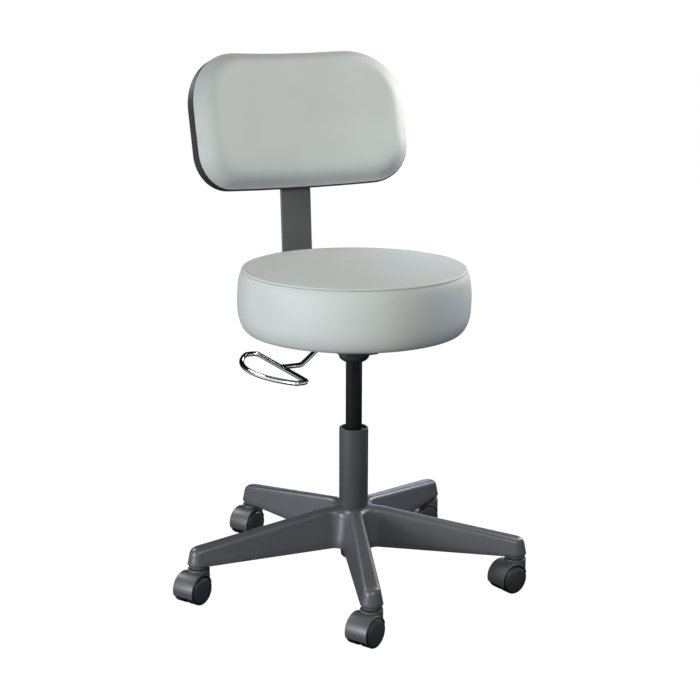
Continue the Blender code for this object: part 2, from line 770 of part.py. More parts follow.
def column_outside(height):
    """Radius of the column tube, straight above the hub and tapered inside it."""
    return COLUMN_RADIUS - max(0, HUB_TOP - height) * math.tan(math.radians(COLUMN_TAPER))


def make_base(parts, tools, paint):
    star = place(star_body("base_star"), parts, paint["nylon"])
    boolean(star, as_tool(rib_pockets(), tools), "DIFFERENCE")
    boss_bottom = COLLAR_TOP + BOSS_LIFT
    socket_top = COLLAR_TOP + LEG_STANDOFF + STEM_GRIP + GAP
    for index in range(LEG_COUNT):
        angle = leg_direction(index)
        spot = (CASTER_CIRCLE * math.cos(angle), CASTER_CIRCLE * math.sin(angle), 0)
        boss = as_tool(drum("stem_boss", BOSS_RADIUS, boss_bottom, LEG_BOTTOM + LEG_WALL), tools)
        boss.location = spot
        boolean(star, boss, "UNION")
        bore = drum("stem_socket", STEM_RADIUS + GAP, boss_bottom - RIB, socket_top, SMALL_STEPS)
        as_tool(bore, tools)
        bore.location = spot
        boolean(star, bore, "DIFFERENCE")
    low, high = TAIL_BOTTOM, HUB_TOP + RIB
    taper = [
        (0, high),
        (column_outside(HUB_TOP) + GAP, high),
        (column_outside(HUB_TOP) + GAP, HUB_TOP),
        (column_outside(low) + GAP, low),
        (0, low),
    ]
    boolean(star, as_tool(turned("column_taper", taper, TUBE_STEPS), tools), "DIFFERENCE")
    settle(star)


# Gas column


def make_column(parts, paint):
    """Outer tube with its guide bush and the bearing stack that lets the rod turn."""
    neck_hole = ROD_NECK_RADIUS + GAP
    foot = column_outside(TAIL_BOTTOM + COLUMN_CHAMFER)
    profile = [
        (COLUMN_RADIUS - RIM_ROUND, RIM_TOP),
        (COLUMN_RADIUS - 0.3 * RIM_ROUND, RIM_TOP - 0.3 * RIM_ROUND),
        (COLUMN_RADIUS, RIM_TOP - RIM_ROUND),
        (COLUMN_RADIUS, HUB_TOP),
        (foot, TAIL_BOTTOM + COLUMN_CHAMFER),
        (foot - COLUMN_CHAMFER, TAIL_BOTTOM),
        (neck_hole, TAIL_BOTTOM),
        (neck_hole, COLUMN_FLOOR_TOP),
        (foot - COLUMN_CHAMFER - COLUMN_WALL, COLUMN_FLOOR_TOP),
        (BORE_RADIUS - 2 * COLUMN_WALL, LEG_BOTTOM),
        (BORE_RADIUS, HUB_TOP),
        (BORE_RADIUS, RIM_TOP - RIM_ROUND),
        (BORE_RADIUS - RIM_LIP, RIM_TOP - RIM_ROUND),
        (BORE_RADIUS - RIM_LIP, RIM_TOP),
    ]
    tube = turned("column_tube", profile, TUBE_STEPS, True)
    settle(place(tube, parts, paint["column"]))

    bush_top = RIM_TOP - RIM_ROUND - GAP
    bush = ring("guide_bush", CYLINDER_RADIUS + GAP, BORE_RADIUS - GAP, bush_top - BUSH_LENGTH, bush_top)
    settle(place(bush, parts, paint["acetal"]))

    washer_top = LOWER_WASHER + WASHER_THICKNESS
    lower = ring("lower_washer", neck_hole, WASHER_RADIUS, LOWER_WASHER, washer_top)
    settle(place(lower, parts, paint["steel"]))
    balls = ring("ball_ring", ROD_RADIUS, WASHER_RADIUS - WASHER_THICKNESS, BALL_RING,
                 BALL_RING + BALL_RING_THICKNESS)
    settle(place(balls, parts, paint["steel"]))


def make_rod(parts, paint, swivel):
    """Piston rod that turns in the column foot, with its washer, bumper and spring clip."""
    clip_top = TAIL_BOTTOM - GAP
    clip_bottom = clip_top - CLIP_THICKNESS
    groove = 0.75 * ROD_NECK_RADIUS
    piston = CYLINDER_RADIUS - CYLINDER_WALL - GAP
    piston_top = PISTON_BOTTOM + PISTON_LENGTH
    profile = [
        (0, piston_top),
        (piston, piston_top),
        (piston, PISTON_BOTTOM),
        (ROD_RADIUS, PISTON_BOTTOM),
        (ROD_RADIUS, ROD_SHOULDER),
        (ROD_NECK_RADIUS, ROD_SHOULDER),
        (ROD_NECK_RADIUS, clip_top + GAP),
        (groove, clip_top + GAP),
        (groove, clip_bottom - GAP),
        (ROD_NECK_RADIUS, clip_bottom - GAP),
        (ROD_NECK_RADIUS, clip_bottom - ROD_TAIL),
        (0, clip_bottom - ROD_TAIL),
    ]
    rod = place(turned("piston_rod", profile, ROD_STEPS), parts, paint["steel"])
    washer = ring("upper_washer", ROD_NECK_RADIUS + GAP, WASHER_RADIUS, UPPER_WASHER,
                  UPPER_WASHER + WASHER_THICKNESS)
    place(washer, parts, paint["steel"])
    bumper = ring("rod_bumper", ROD_RADIUS + GAP, BUMPER_RADIUS, ROD_SHOULDER, BUMPER_TOP)
    place(bumper, parts, paint["rubber"])

    opening = math.radians(35)
    outside = [
        (CLIP_RADIUS * math.cos(turn), CLIP_RADIUS * math.sin(turn))
        for turn in (opening + (2 * math.pi - 2 * opening) * step / 20 for step in range(21))
    ]
    inside = [(x * (groove + GAP) / CLIP_RADIUS, y * (groove + GAP) / CLIP_RADIUS) for x, y in outside]
    level = Matrix.Translation((0, 0, (clip_top + clip_bottom) / 2))
    clip = flat("spring_clip", outside + inside[::-1], CLIP_THICKNESS, level)
    place(clip, parts, paint["steel"])
    for piece in (rod, washer, bumper, clip):
        attach(settle(piece), swivel)


def cylinder_outside(height):
    """Radius of the gas cylinder, straight below the seat socket and tapered inside it."""
    return CYLINDER_RADIUS - max(0, height - SOCKET_BOTTOM) * math.tan(math.radians(CYLINDER_TAPER))


def make_cylinder(parts, paint, lift):
    """Gas cylinder that slides on the rod, closed by its gland, with the valve button on top."""
    bore = CYLINDER_RADIUS - CYLINDER_WALL
    bore_top = SOCKET_BOTTOM - CYLINDER_WALL
    pit = BUTTON_RADIUS + GAP
    pit_floor = CYLINDER_TOP - BUTTON_DEPTH
    rod_hole = ROD_RADIUS + GAP
    profile = [
        (0, pit_floor),
        (pit, pit_floor),
        (pit, CYLINDER_TOP),
        (cylinder_outside(CYLINDER_TOP), CYLINDER_TOP),
        (CYLINDER_RADIUS, SOCKET_BOTTOM),
        (CYLINDER_RADIUS, CYLINDER_BOTTOM),
        (rod_hole, CYLINDER_BOTTOM),
        (rod_hole, CYLINDER_BOTTOM + GLAND_LENGTH),
        (bore, CYLINDER_BOTTOM + GLAND_LENGTH),
        (bore, bore_top),
        (0, bore_top),
    ]
    cylinder = place(turned("gas_cylinder", profile, ROUND_STEPS), parts, paint["black_steel"])
    attach(settle(cylinder), lift)

    travel = math.radians(LEVER_LIFT) * LEVER_PIVOT
    foot = pit_floor + travel + GAP
    tip = BUTTON_RADIUS * 0.6
    button_profile = [
        (0, BUTTON_TOP),
        (tip, BUTTON_TOP),
        (BUTTON_RADIUS, BUTTON_TOP - (BUTTON_RADIUS - tip)),
        (BUTTON_RADIUS, foot),
        (0, foot),
    ]
    button = place(turned("valve_button", button_profile, SMALL_STEPS), parts, paint["acetal"])
    attach(settle(button), lift)


# Seat mechanism


def make_mechanism(parts, tools, paint, lift):
    tube = cylinder_outside(SOCKET_BOTTOM) + GAP
    tube_top = cylinder_outside(SOCKET_TOP) + GAP
    neck = tube + SOCKET_THICKNESS
    bowl_top = HOUSING_BOTTOM - GAP
    profile = [
        (neck, SOCKET_TOP),
        (neck, bowl_top),
        (SOCKET_BOWL, bowl_top),
        (SOCKET_BOWL - 0.2 * (SOCKET_BOWL - tube), bowl_top - 0.55 * SOCKET_BOWL_DEPTH),
        (SOCKET_BOWL - 0.5 * (SOCKET_BOWL - tube), bowl_top - 0.8 * SOCKET_BOWL_DEPTH),
        (tube + SOCKET_THICKNESS / 4, SOCKET_BOTTOM),
        (tube, SOCKET_BOTTOM),
        (tube_top, SOCKET_TOP),
    ]
    socket = place(turned("taper_socket", profile, TUBE_STEPS, True), parts, paint["black_steel"])
    attach(settle(socket), lift)

    housing = make_housing(tools, neck)
    attach(settle(place(housing, parts, paint["black_steel"])), lift)

    pin_half = SLEEVE_LENGTH / 2 + GAP + EAR
    pin = drum("lever_pin", PIN_RADIUS, -pin_half, pin_half, SMALL_STEPS)
    pin.matrix_world = Matrix.Translation((-LEVER_PIVOT, 0, PIN_HEIGHT)) @ FRONT_VIEW
    attach(settle(place(pin, parts, paint["steel"])), lift)

    middle = (PLATE_BOTTOM + PLATE_TOP) / 2
    corners = [
        ((-PLATE_HALF, -PLATE_HALF), PLATE_CORNER),
        ((PLATE_HALF, -PLATE_HALF), PLATE_CORNER),
        ((PLATE_HALF, PLATE_HALF), PLATE_CORNER),
        ((PLATE_TONGUE_HALF, PLATE_HALF + PLATE_CORNER), PLATE_CORNER),
        ((PLATE_TONGUE_HALF, PLATE_TONGUE), PLATE_CORNER),
        ((-PLATE_TONGUE_HALF, PLATE_TONGUE), PLATE_CORNER),
        ((-PLATE_TONGUE_HALF, PLATE_HALF + PLATE_CORNER), PLATE_CORNER),
        ((-PLATE_HALF, PLATE_HALF), PLATE_CORNER),
    ]
    outline = rounded_path(corners, steps=3)
    plate = flat("seat_plate", outline, PLATE_THICKNESS, Matrix.Translation((0, 0, middle)))
    place(plate, parts, paint["black_steel"])
    for x, y in bolt_places():
        hole = as_tool(drum("bolt_hole", BOLT_RADIUS + GAP, HOUSING_BOTTOM, BOARD_TOP, SMALL_STEPS), tools)
        hole.location = (x, y, 0)
        boolean(plate, hole, "DIFFERENCE")
    attach(settle(plate), lift)
    make_bracket(parts, tools, paint, lift)


def make_housing(tools, neck):
    """Pressed box under the seat, open above, with ears for the lever pin and a slot for the lever."""
    half = HOUSING_WIDTH / 2
    middle = (HOUSING_BOTTOM + HOUSING_TOP) / 2

    def box_outline(inset):
        return rounded_path([
            ((inset - half, inset - HOUSING_FRONT), HOUSING_CORNER - inset),
            ((half - inset, inset - HOUSING_FRONT), HOUSING_CORNER - inset),
            ((half - inset, HOUSING_REAR - inset), HOUSING_CORNER - inset),
            ((inset - half, HOUSING_REAR - inset), HOUSING_CORNER - inset),
        ], steps=3)

    housing = flat("mechanism_housing", box_outline(0), HOUSING_HEIGHT, Matrix.Translation((0, 0, middle)))
    inside = Matrix.Translation((0, 0, middle + HOUSING_WALL))
    hollow = flat("housing_hollow", box_outline(HOUSING_WALL), HOUSING_HEIGHT, inside)
    boolean(housing, as_tool(hollow, tools), "DIFFERENCE")

    ear_reach = PIN_RADIUS + EAR_MARGIN
    for side in (-1, 1):
        near = side * (SLEEVE_LENGTH / 2 + GAP)
        far = near + side * EAR
        low = (-LEVER_PIVOT - ear_reach, min(near, far), HOUSING_BOTTOM + HOUSING_WALL / 2)
        high = (-LEVER_PIVOT + ear_reach, max(near, far), PIN_HEIGHT + ear_reach)
        boolean(housing, as_tool(block("pin_ear", low, high), tools), "UNION")
    pin_hole = drum("pin_hole", PIN_RADIUS + GAP, -HOUSING_FRONT / 2, HOUSING_FRONT / 2, SMALL_STEPS)
    pin_hole.matrix_world = Matrix.Translation((-LEVER_PIVOT, 0, PIN_HEIGHT)) @ FRONT_VIEW
    boolean(housing, as_tool(pin_hole, tools), "DIFFERENCE")
    neck_hole = drum("neck_hole", neck + GAP, SOCKET_BOTTOM, HOUSING_BOTTOM + 2 * HOUSING_WALL)
    boolean(housing, as_tool(neck_hole, tools), "DIFFERENCE")
    play = WIRE_RADIUS + LEVER_SLOT_PLAY
    slot = block(
        "lever_slot",
        (-half - HOUSING_WALL, -play, LEVER_HEIGHT - play),
        (-half + 2 * HOUSING_WALL, play, HOUSING_TOP + HOUSING_WALL),
    )
    boolean(housing, as_tool(slot, tools), "DIFFERENCE")
    return housing


def bolt_places():
    half = BOLT_SPACING / 2
    return [(x, y) for x in (-half, half) for y in (-half, half)]


def make_bracket(parts, tools, paint, lift):
    """Hat-shaped bracket under the rear of the seat plate, in which the back bar slides."""
    top = PLATE_BOTTOM - GAP
    inner = BAR_WIDTH / 2 + GAP
    outer = inner + BRACKET_WALL
    floor = top - BAR_THICKNESS - 2 * GAP
    wing = outer + BRACKET_FLANGE
    side = [
        (wing, top),
        (wing, top - BRACKET_WALL),
        (outer, top - BRACKET_WALL),
        (outer, floor - BRACKET_WALL),
    ]
    channel = [(inner, floor), (inner, top)]
    outline = side + [(-x, z) for x, z in reversed(side)] + [(-x, z) for x, z in reversed(channel)] + channel
    length = PLATE_TONGUE - BRACKET_START
    across = Matrix.Translation((0, (PLATE_TONGUE + BRACKET_START) / 2, 0)) @ FRONT_VIEW
    bracket = flat("bar_bracket", outline, length, across)
    place(bracket, parts, paint["black_steel"])
    hole = drum("knob_hole", KNOB_STUD + GAP, HOUSING_BOTTOM, PLATE_BOTTOM - GAP, SMALL_STEPS)
    hole.location = (0, KNOB_PLACE, 0)
    boolean(bracket, as_tool(hole, tools), "DIFFERENCE")
    attach(settle(bracket), lift)


def knob(name, tools, reach):
    """Lobed clamp knob about Z with its stud upwards; the stud ends at Z = 0."""
    count = 5 * KNOB_LOBES
    outline = []
    for step in range(count):
        turn = 2 * math.pi * step / count
        radius = KNOB_RADIUS - KNOB_EDGE - KNOB_LOBE_DEPTH * (1 - math.cos(KNOB_LOBES * turn)) / 2
        outline.append((radius * math.cos(turn), radius * math.sin(turn)))
    level = Matrix.Translation((0, 0, -reach - KNOB_HEIGHT / 2))
    grip = flat(name, outline, KNOB_HEIGHT, level, KNOB_EDGE)
    stud = drum(name + "_stud", KNOB_STUD, -reach - KNOB_HEIGHT / 2, 0, SMALL_STEPS)
    boolean(grip, as_tool(stud, tools), "UNION")
    return grip


# Release lever


def make_lever(parts, tools, paint, lift):
    """Chromed wire loop on a stem that passes over the pin and ends above the valve button."""
    height = LEVER_HEIGHT - LOOP_DROP
    apex = -(LOOP_BAR + LOOP_DEPTH)
    centre = apex + LOOP_ROUND
    shoulder = centre - math.sqrt(LOOP_ROUND ** 2 - LOOP_HALF ** 2)
    spread = math.asin(LOOP_HALF / LOOP_ROUND)
    arc = []
    for step in range(1, 14):
        turn = spread * (1 - 2 * step / 14)
        arc.append(((centre - LOOP_ROUND * math.cos(turn), LOOP_ROUND * math.sin(turn), height), 0))
    corners = [
        ((-LOOP_BAR, -LOOP_HALF, height), LOOP_CORNER),
        ((-LOOP_BAR, 0, height), 0),
        ((-LOOP_BAR, LOOP_HALF, height), LOOP_CORNER),
        ((shoulder, LOOP_HALF, height), LOOP_CORNER / 2),
        *arc,
        ((shoulder, -LOOP_HALF, height), LOOP_CORNER / 2),
    ]
    lever = place(wire("release_lever", rounded_path(corners, steps=4), WIRE_RADIUS, True), parts)
    rise = LOOP_DROP / math.tan(math.radians(STEM_SLOPE))
    stem_path = rounded_path([
        ((-LOOP_BAR, 0, height), 0),
        ((-STEM_FOOT, 0, height), STEM_BEND),
        ((-STEM_FOOT + rise, 0, LEVER_HEIGHT), STEM_BEND),
        ((LEVER_REACH, 0, LEVER_HEIGHT), 0),
    ], closed=False)
    boolean(lever, as_tool(wire("lever_stem", stem_path, WIRE_RADIUS), tools), "UNION")
    bore = PIN_RADIUS + GAP
    sleeve = drum("lever_sleeve", bore + SLEEVE_WALL, -SLEEVE_LENGTH / 2, SLEEVE_LENGTH / 2)
    hole = drum("sleeve_bore", bore, -SLEEVE_LENGTH, SLEEVE_LENGTH, SMALL_STEPS)
    for tool, operation in ((sleeve, "UNION"), (hole, "DIFFERENCE")):
        tool.matrix_world = Matrix.Translation((-LEVER_PIVOT, 0, PIN_HEIGHT)) @ FRONT_VIEW
        boolean(lever, as_tool(tool, tools), operation)
    lever.data.materials.clear()
    lever.data.materials.append(paint["chrome"])
    pivot = axis_empty("lever_pivot", (-LEVER_PIVOT, 0, PIN_HEIGHT), parts, lift)
    attach(settle(lever, 50.0), pivot)


# Round seat


def make_seat(parts, tools, paint, lift):
    board = drum("seat_board", BOARD_RADIUS, BOARD_BOTTOM, BOARD_TOP, SEAT_STEPS)
    place(board, parts, paint["plywood"])
    for index, (x, y) in enumerate(bolt_places()):
        hole = as_tool(drum("nut_hole", BOLT_RADIUS + GAP, HOUSING_BOTTOM, BOARD_BOTTOM + BOLT_REACH + GAP,
                            SMALL_STEPS), tools)
        hole.location = (x, y, 0)
        boolean(board, hole, "DIFFERENCE")
        head_top = PLATE_BOTTOM - GAP
        profile = [
            (0, BOARD_BOTTOM + BOLT_REACH),
            (BOLT_RADIUS, BOARD_BOTTOM + BOLT_REACH),
            (BOLT_RADIUS, head_top),
            (BOLT_HEAD_RADIUS, head_top),
            (0.7 * BOLT_HEAD_RADIUS, head_top - BOLT_HEAD_HEIGHT),
            (0, head_top - BOLT_HEAD_HEIGHT),
        ]
        bolt = place(turned(f"seat_bolt_{index + 1}", profile, SMALL_STEPS), parts, paint["steel"])
        bolt.location = (x, y, 0)
        attach(settle(bolt), lift)
    attach(settle(board), lift)

    # Crowned top, a raised welt, barrel sides drawn in above and below, and a recess for the board.
    welt = BOARD_BOTTOM + SEAT_DEPTH
    swell = SEAT_RADIUS - SEAT_WELT_RADIUS
    inner = BOARD_RADIUS + GAP
    profile = [
        (0, welt + SEAT_CROWN),
        (0.35 * SEAT_WELT_RADIUS, welt + 0.93 * SEAT_CROWN),
        (0.68 * SEAT_WELT_RADIUS, welt + 0.68 * SEAT_CROWN),
        (0.9 * SEAT_WELT_RADIUS, welt + 0.26 * SEAT_CROWN),
        (SEAT_WELT_RADIUS - 2 * WELT, welt),
        (SEAT_WELT_RADIUS - WELT, welt + WELT),
        (SEAT_WELT_RADIUS + WELT, welt),
        (SEAT_WELT_RADIUS + 0.1 * swell, welt - 2 * WELT),
        (SEAT_RADIUS - 0.35 * swell, welt - 0.13 * SEAT_DEPTH),
        (SEAT_RADIUS - 0.06 * swell, welt - 0.32 * SEAT_DEPTH),
        (SEAT_RADIUS, welt - 0.5 * SEAT_DEPTH),
        (SEAT_RADIUS - 0.13 * swell, BOARD_BOTTOM + 0.27 * SEAT_DEPTH),
        (SEAT_RADIUS - 0.75 * swell, BOARD_BOTTOM + 0.11 * SEAT_DEPTH),
        (SEAT_LIP, BOARD_BOTTOM + 0.02 * SEAT_DEPTH),
        (inner, BOARD_BOTTOM),
        (inner, BOARD_TOP + GAP),
        (0, BOARD_TOP + GAP),
    ]
    cushion = place(turned("seat_cushion", profile, SEAT_STEPS), parts, paint["vinyl"])
    attach(settle(cushion, 60.0), lift)


# Back bar


def bar_middle_line():
    """Side view of the bar: out from under the seat, up, and leaned back into the backrest."""
    knee = BACK_FRAME @ Vector((0, BAR_DEPTH, -BACK_HEIGHT / 2))
    end = BACK_FRAME @ Vector((0, BAR_DEPTH, -BACK_HEIGHT / 2 + BAR_ENGAGE))
    foot = knee.y - (knee.z - BAR_HEIGHT) * math.tan(math.radians(BAR_LEAN))
    return [
        ((BAR_END, BAR_HEIGHT), 0),
        ((foot, BAR_HEIGHT), BAR_BEND),
        ((knee.y, knee.z), BAR_KNEE),
        ((end.y, end.z), 0),
    ]


def offset_line(corners, distance):
    """The same run of straights and bends, moved sideways by a distance."""
    points = [Vector(point) for point, radius in corners]
    moved = []
    for index, (point, radius) in enumerate(corners):
        ahead = points[min(index + 1, len(points) - 1)] - points[min(index, len(points) - 2)]
        behind = points[max(index, 1)] - points[max(index - 1, 0)]
        ahead.normalize()
        behind.normalize()
        left_ahead = Vector((-ahead.y, ahead.x))
        left_behind = Vector((-behind.y, behind.x))
        mitre = left_ahead + left_behind
        shift = mitre * distance / (mitre.dot(left_ahead))
        bend = ahead.x * behind.y - ahead.y * behind.x
        side = -1 if bend < 0 else 1
        moved.append((points[index] + shift, radius + side * distance if radius else 0))
    return moved


def make_bar(parts, paint, depth_slide):
    line = bar_middle_line()
    upper = rounded_path(offset_line(line, BAR_THICKNESS / 2), closed=False)
    lower = rounded_path(offset_line(line, -BAR_THICKNESS / 2), closed=False)
    bar = flat("back_bar", upper + lower[::-1], BAR_WIDTH, SIDE_VIEW)
    attach(settle(place(bar, parts, paint["bar"])), depth_slide)


# Backrest, drawn with X across, Y to the rear and Z up, before it is leaned back


def bent(across, depth, up):
    """Point of the hollow backrest: depth is measured to the rear from its front edge surface."""
    turn = across / BACK_CURVE
    radius = BACK_CURVE + depth
    return Vector((radius * math.sin(turn), radius * math.cos(turn) - BACK_CURVE, up))


def back_outline(inset):
    """Outline of the backrest in its flat state, drawn in by an inset."""
    half = BACK_WIDTH / 2 - inset
    top = BACK_HEIGHT / 2 - inset
    corners = [
        (half, top, BACK_TOP_CORNER - inset, 0),
        (-half, top, BACK_TOP_CORNER - inset, 90),
        (-half, -top, BACK_BOTTOM_CORNER - inset, 180),
        (half, -top, BACK_BOTTOM_CORNER - inset, 270),
    ]
    points = []
    for x, z, radius, start in corners:
        centre = Vector((x - math.copysign(radius, x), z - math.copysign(radius, z)))
        for step in range(ARC_STEPS + 1):
            turn = math.radians(start + 90 * step / ARC_STEPS)
            points.append(centre + radius * Vector((math.cos(turn), math.sin(turn))))
    outline = []
    for index, point in enumerate(points):
        outline.append(point)
        if index % (ARC_STEPS + 1) == ARC_STEPS:
            following = points[(index + 1) % len(points)]
            outline.extend(point.lerp(following, step / EDGE_STEPS) for step in range(1, EDGE_STEPS))
    return outline


def back_ring(inset, depth, scale=1.0):
    return [bent(scale * point.x, depth, scale * point.y) for point in back_outline(inset)]


def panel_face(inset, depth):
    """Rings over a plain bent face, from its middle out to its edge."""
    return [(inset, depth, scale) for scale in PANEL_SCALES]


def back_body(name, levels):
    """A bent panel through (inset, depth, scale) rings, leaned back into place."""
    top_count = 2 * (ARC_STEPS + 1) + EDGE_STEPS - 1
    body = loft(name, [back_ring(inset, depth, scale) for inset, depth, scale in levels], top_count)
    body.matrix_world = BACK_FRAME
    return body


def screw_places():
    return [(x, z) for x in (-SCREW_ACROSS, SCREW_ACROSS) for z in (SCREW_UP, SCREW_DOWN)]


def screw_frame(across, up, depth):
    """Frame whose Z axis points to the rear, square to the bent panel."""
    turn = Matrix.Rotation(-across / BACK_CURVE, 4, "Z")
    return BACK_FRAME @ Matrix.Translation(bent(across, depth, up)) @ turn @ FRONT_VIEW.inverted()


def make_backrest(parts, tools, paint, height_slide):
    # Crowned front, rounded edge drawn in to the seam, plain rear on the board.
    edge = BACK_EDGE_ROUND
    inset = SHELL_WALL + GAP
    cushion = back_body("back_cushion", [
        (edge, -BACK_CROWN, 0.12),
        (edge, -0.92 * BACK_CROWN, 0.45),
        (edge, -0.7 * BACK_CROWN, 0.75),
        (edge, -0.35 * BACK_CROWN, 1),
        (0.45 * edge, 0.05 * BACK_SEAM, 1),
        (0.1 * edge, 0.35 * BACK_SEAM, 1),
        (0, 0.7 * BACK_SEAM, 1),
        (0.07 * edge, BACK_SEAM, 1),
        *reversed(panel_face(inset, BACK_SEAM)),
    ])
    attach(settle(place(cushion, parts, paint["vinyl"]), 60.0), height_slide)

    front = BACK_SEAM + GAP
    rear = front + BACK_BOARD
    board = back_body("back_board", panel_face(inset, front) + panel_face(inset, rear)[::-1])
    place(board, parts, paint["plywood"])

    ledge = rear + GAP
    floor = BACK_DEPTH - SHELL_FLOOR
    tuck = SHELL_TUCK
    shell = back_body("back_shell", [
        *panel_face(SHELL_WALL + SHELL_LEDGE, floor),
        (SHELL_WALL + SHELL_LEDGE, ledge, 1),
        (SHELL_WALL, ledge, 1),
        (SHELL_WALL, front, 1),
        (0.2 * tuck, front, 1),
        (0, front + 0.2 * tuck, 1),
        (0.4 * tuck, BACK_DEPTH - tuck, 1),
        (tuck, BACK_DEPTH - 0.3 * tuck, 1),
        *reversed(panel_face(2 * tuck, BACK_DEPTH)),
    ])
    place(shell, parts, paint["shell"])
    make_spine(shell, tools)
    for index, (across, up) in enumerate(screw_places()):
        frame = screw_frame(across, up, BACK_DEPTH)
        grip_end = front + GAP - BACK_DEPTH + BACK_BOARD / 3
        hole = as_tool(drum("screw_hole", BOLT_RADIUS + GAP, grip_end - GAP, SHELL_FLOOR, SMALL_STEPS), tools)
        hole.matrix_world = frame
        boolean(board, hole, "DIFFERENCE")
        boolean(shell, hole, "DIFFERENCE")
        head = BOLT_HEAD_RADIUS
        profile = [
            (0, GAP + BOLT_HEAD_HEIGHT),
            (0.6 * head, GAP + BOLT_HEAD_HEIGHT),
            (head, GAP),
            (BOLT_RADIUS, GAP),
            (BOLT_RADIUS, grip_end),
            (0, grip_end),
        ]
        screw = turned(f"back_screw_{index + 1}", profile, SMALL_STEPS)
        screw.matrix_world = frame
        attach(settle(place(screw, parts, paint["steel"])), height_slide)
    attach(settle(board), height_slide)
    attach(settle(shell), height_slide)


def make_spine(shell, tools):
    """Channel moulded on the back of the shell, open below, in which the bar slides."""
    half = BAR_WIDTH / 2 + GAP + SPINE_WALL
    bottom = -BACK_HEIGHT / 2 + SPINE_BELOW
    corners = [
        ((-half, bottom), 0),
        ((half, bottom), 0),
        ((half, SPINE_TOP), 2 * SPINE_WALL),
        ((-half, SPINE_TOP), 2 * SPINE_WALL),
    ]
    base = BACK_DEPTH - SHELL_FLOOR / 2
    depth = (base + SPINE_DEPTH) / 2
    frame = BACK_FRAME @ Matrix.Translation((0, depth, 0)) @ FRONT_VIEW
    spine = flat("spine", rounded_path(corners, steps=3), SPINE_DEPTH - base, frame)
    boolean(shell, as_tool(spine, tools), "UNION")
    room = BAR_WIDTH / 2 + GAP
    slot = block(
        "bar_slot",
        (-room, BACK_DEPTH + GAP, -BACK_HEIGHT),
        (room, BAR_DEPTH + BAR_THICKNESS / 2 + GAP, -BACK_HEIGHT / 2 + BAR_ENGAGE + GAP),
    )
    slot.matrix_world = BACK_FRAME
    boolean(shell, as_tool(slot, tools), "DIFFERENCE")
    bore = as_tool(drum("height_stud_bore", KNOB_STUD + GAP, BAR_DEPTH, 2 * SPINE_DEPTH, SMALL_STEPS), tools)
    bore.matrix_world = height_knob_frame() @ Matrix.Translation((0, 0, -BAR_DEPTH))
    boolean(shell, bore, "DIFFERENCE")


def height_knob_frame():
    """Frame on the bar's middle line behind the backrest whose Z axis points to the rear."""
    spot = Vector((0, BAR_DEPTH, -BACK_HEIGHT / 2 + BACK_KNOB_RISE))
    return BACK_FRAME @ Matrix.Translation(spot) @ FRONT_VIEW.inverted()


def make_knobs(parts, tools, paint, lift, height_slide):
    """Clamp knobs: one under the seat for the depth of the back, one behind it for its height."""
    bracket_bottom = PLATE_BOTTOM - 3 * GAP - BAR_THICKNESS - BRACKET_WALL
    bar_bottom = BAR_HEIGHT - BAR_THICKNESS / 2
    depth_knob = knob("depth_knob", tools, bar_bottom - GAP - bracket_bottom + KNOB_NECK)
    place(depth_knob, parts, paint["acetal"])
    settle(depth_knob)
    depth_knob.data.transform(depth_knob.matrix_world)
    depth_knob.matrix_world = Matrix.Translation((0, KNOB_PLACE, bar_bottom - GAP))
    attach(depth_knob, axis_empty("depth_knob_axis", (0, KNOB_PLACE, bar_bottom), parts, lift))

    stud_end = BAR_THICKNESS / 2 + KNOB_LOOSE
    height_knob = knob("height_knob", tools, SPINE_DEPTH + KNOB_NECK - BAR_DEPTH - stud_end)
    place(height_knob, parts, paint["acetal"])
    settle(height_knob)
    height_knob.data.transform(height_knob.matrix_world)
    flipped = Matrix.Translation((0, 0, stud_end)) @ Matrix.Rotation(math.radians(180), 4, "X")
    height_knob.matrix_world = height_knob_frame() @ flipped
    spot = (height_knob_frame() @ Vector((0, 0, stud_end)))
    attach(height_knob, axis_empty("height_knob_axis", spot, parts, height_slide))


def main():
    for thing in list(bpy.data.objects):
        bpy.data.objects.remove(thing, do_unlink=True)
    parts = bpy.data.collections.new("exam_stool")
    tools = bpy.data.collections.new("cutters")
    bpy.context.scene.collection.children.link(parts)
    bpy.context.scene.collection.children.link(tools)
    paint = make_materials()

    swivel = axis_empty("seat_swivel", (0, 0, ROD_SHOULDER), parts)
    lift = axis_empty("seat_lift", (0, 0, CYLINDER_BOTTOM), parts, swivel)
    depth_slide = axis_empty("bar_depth_slide", (0, BRACKET_START, BAR_HEIGHT), parts, lift)
    back_place = BACK_FRAME @ Vector((0, BAR_DEPTH, -BACK_HEIGHT / 2))
    height_slide = axis_empty("back_height_slide", back_place, parts, depth_slide)

    make_base(parts, tools, paint)
    make_casters(parts, tools, paint)
    make_column(parts, paint)
    make_rod(parts, paint, swivel)
    make_cylinder(parts, paint, lift)
    make_mechanism(parts, tools, paint, lift)
    make_lever(parts, tools, paint, lift)
    make_seat(parts, tools, paint, lift)
    make_bar(parts, paint, depth_slide)
    make_backrest(parts, tools, paint, height_slide)
    make_knobs(parts, tools, paint, lift, height_slide)


main()
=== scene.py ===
"""Looks of the exam stool: vinyl pads, moulded plastics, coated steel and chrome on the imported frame.

Lengths are in metres. +Z is up, the sitter faces -Y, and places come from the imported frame.
"""
import math

import bpy
import numpy as np
from mathutils import Matrix, Vector


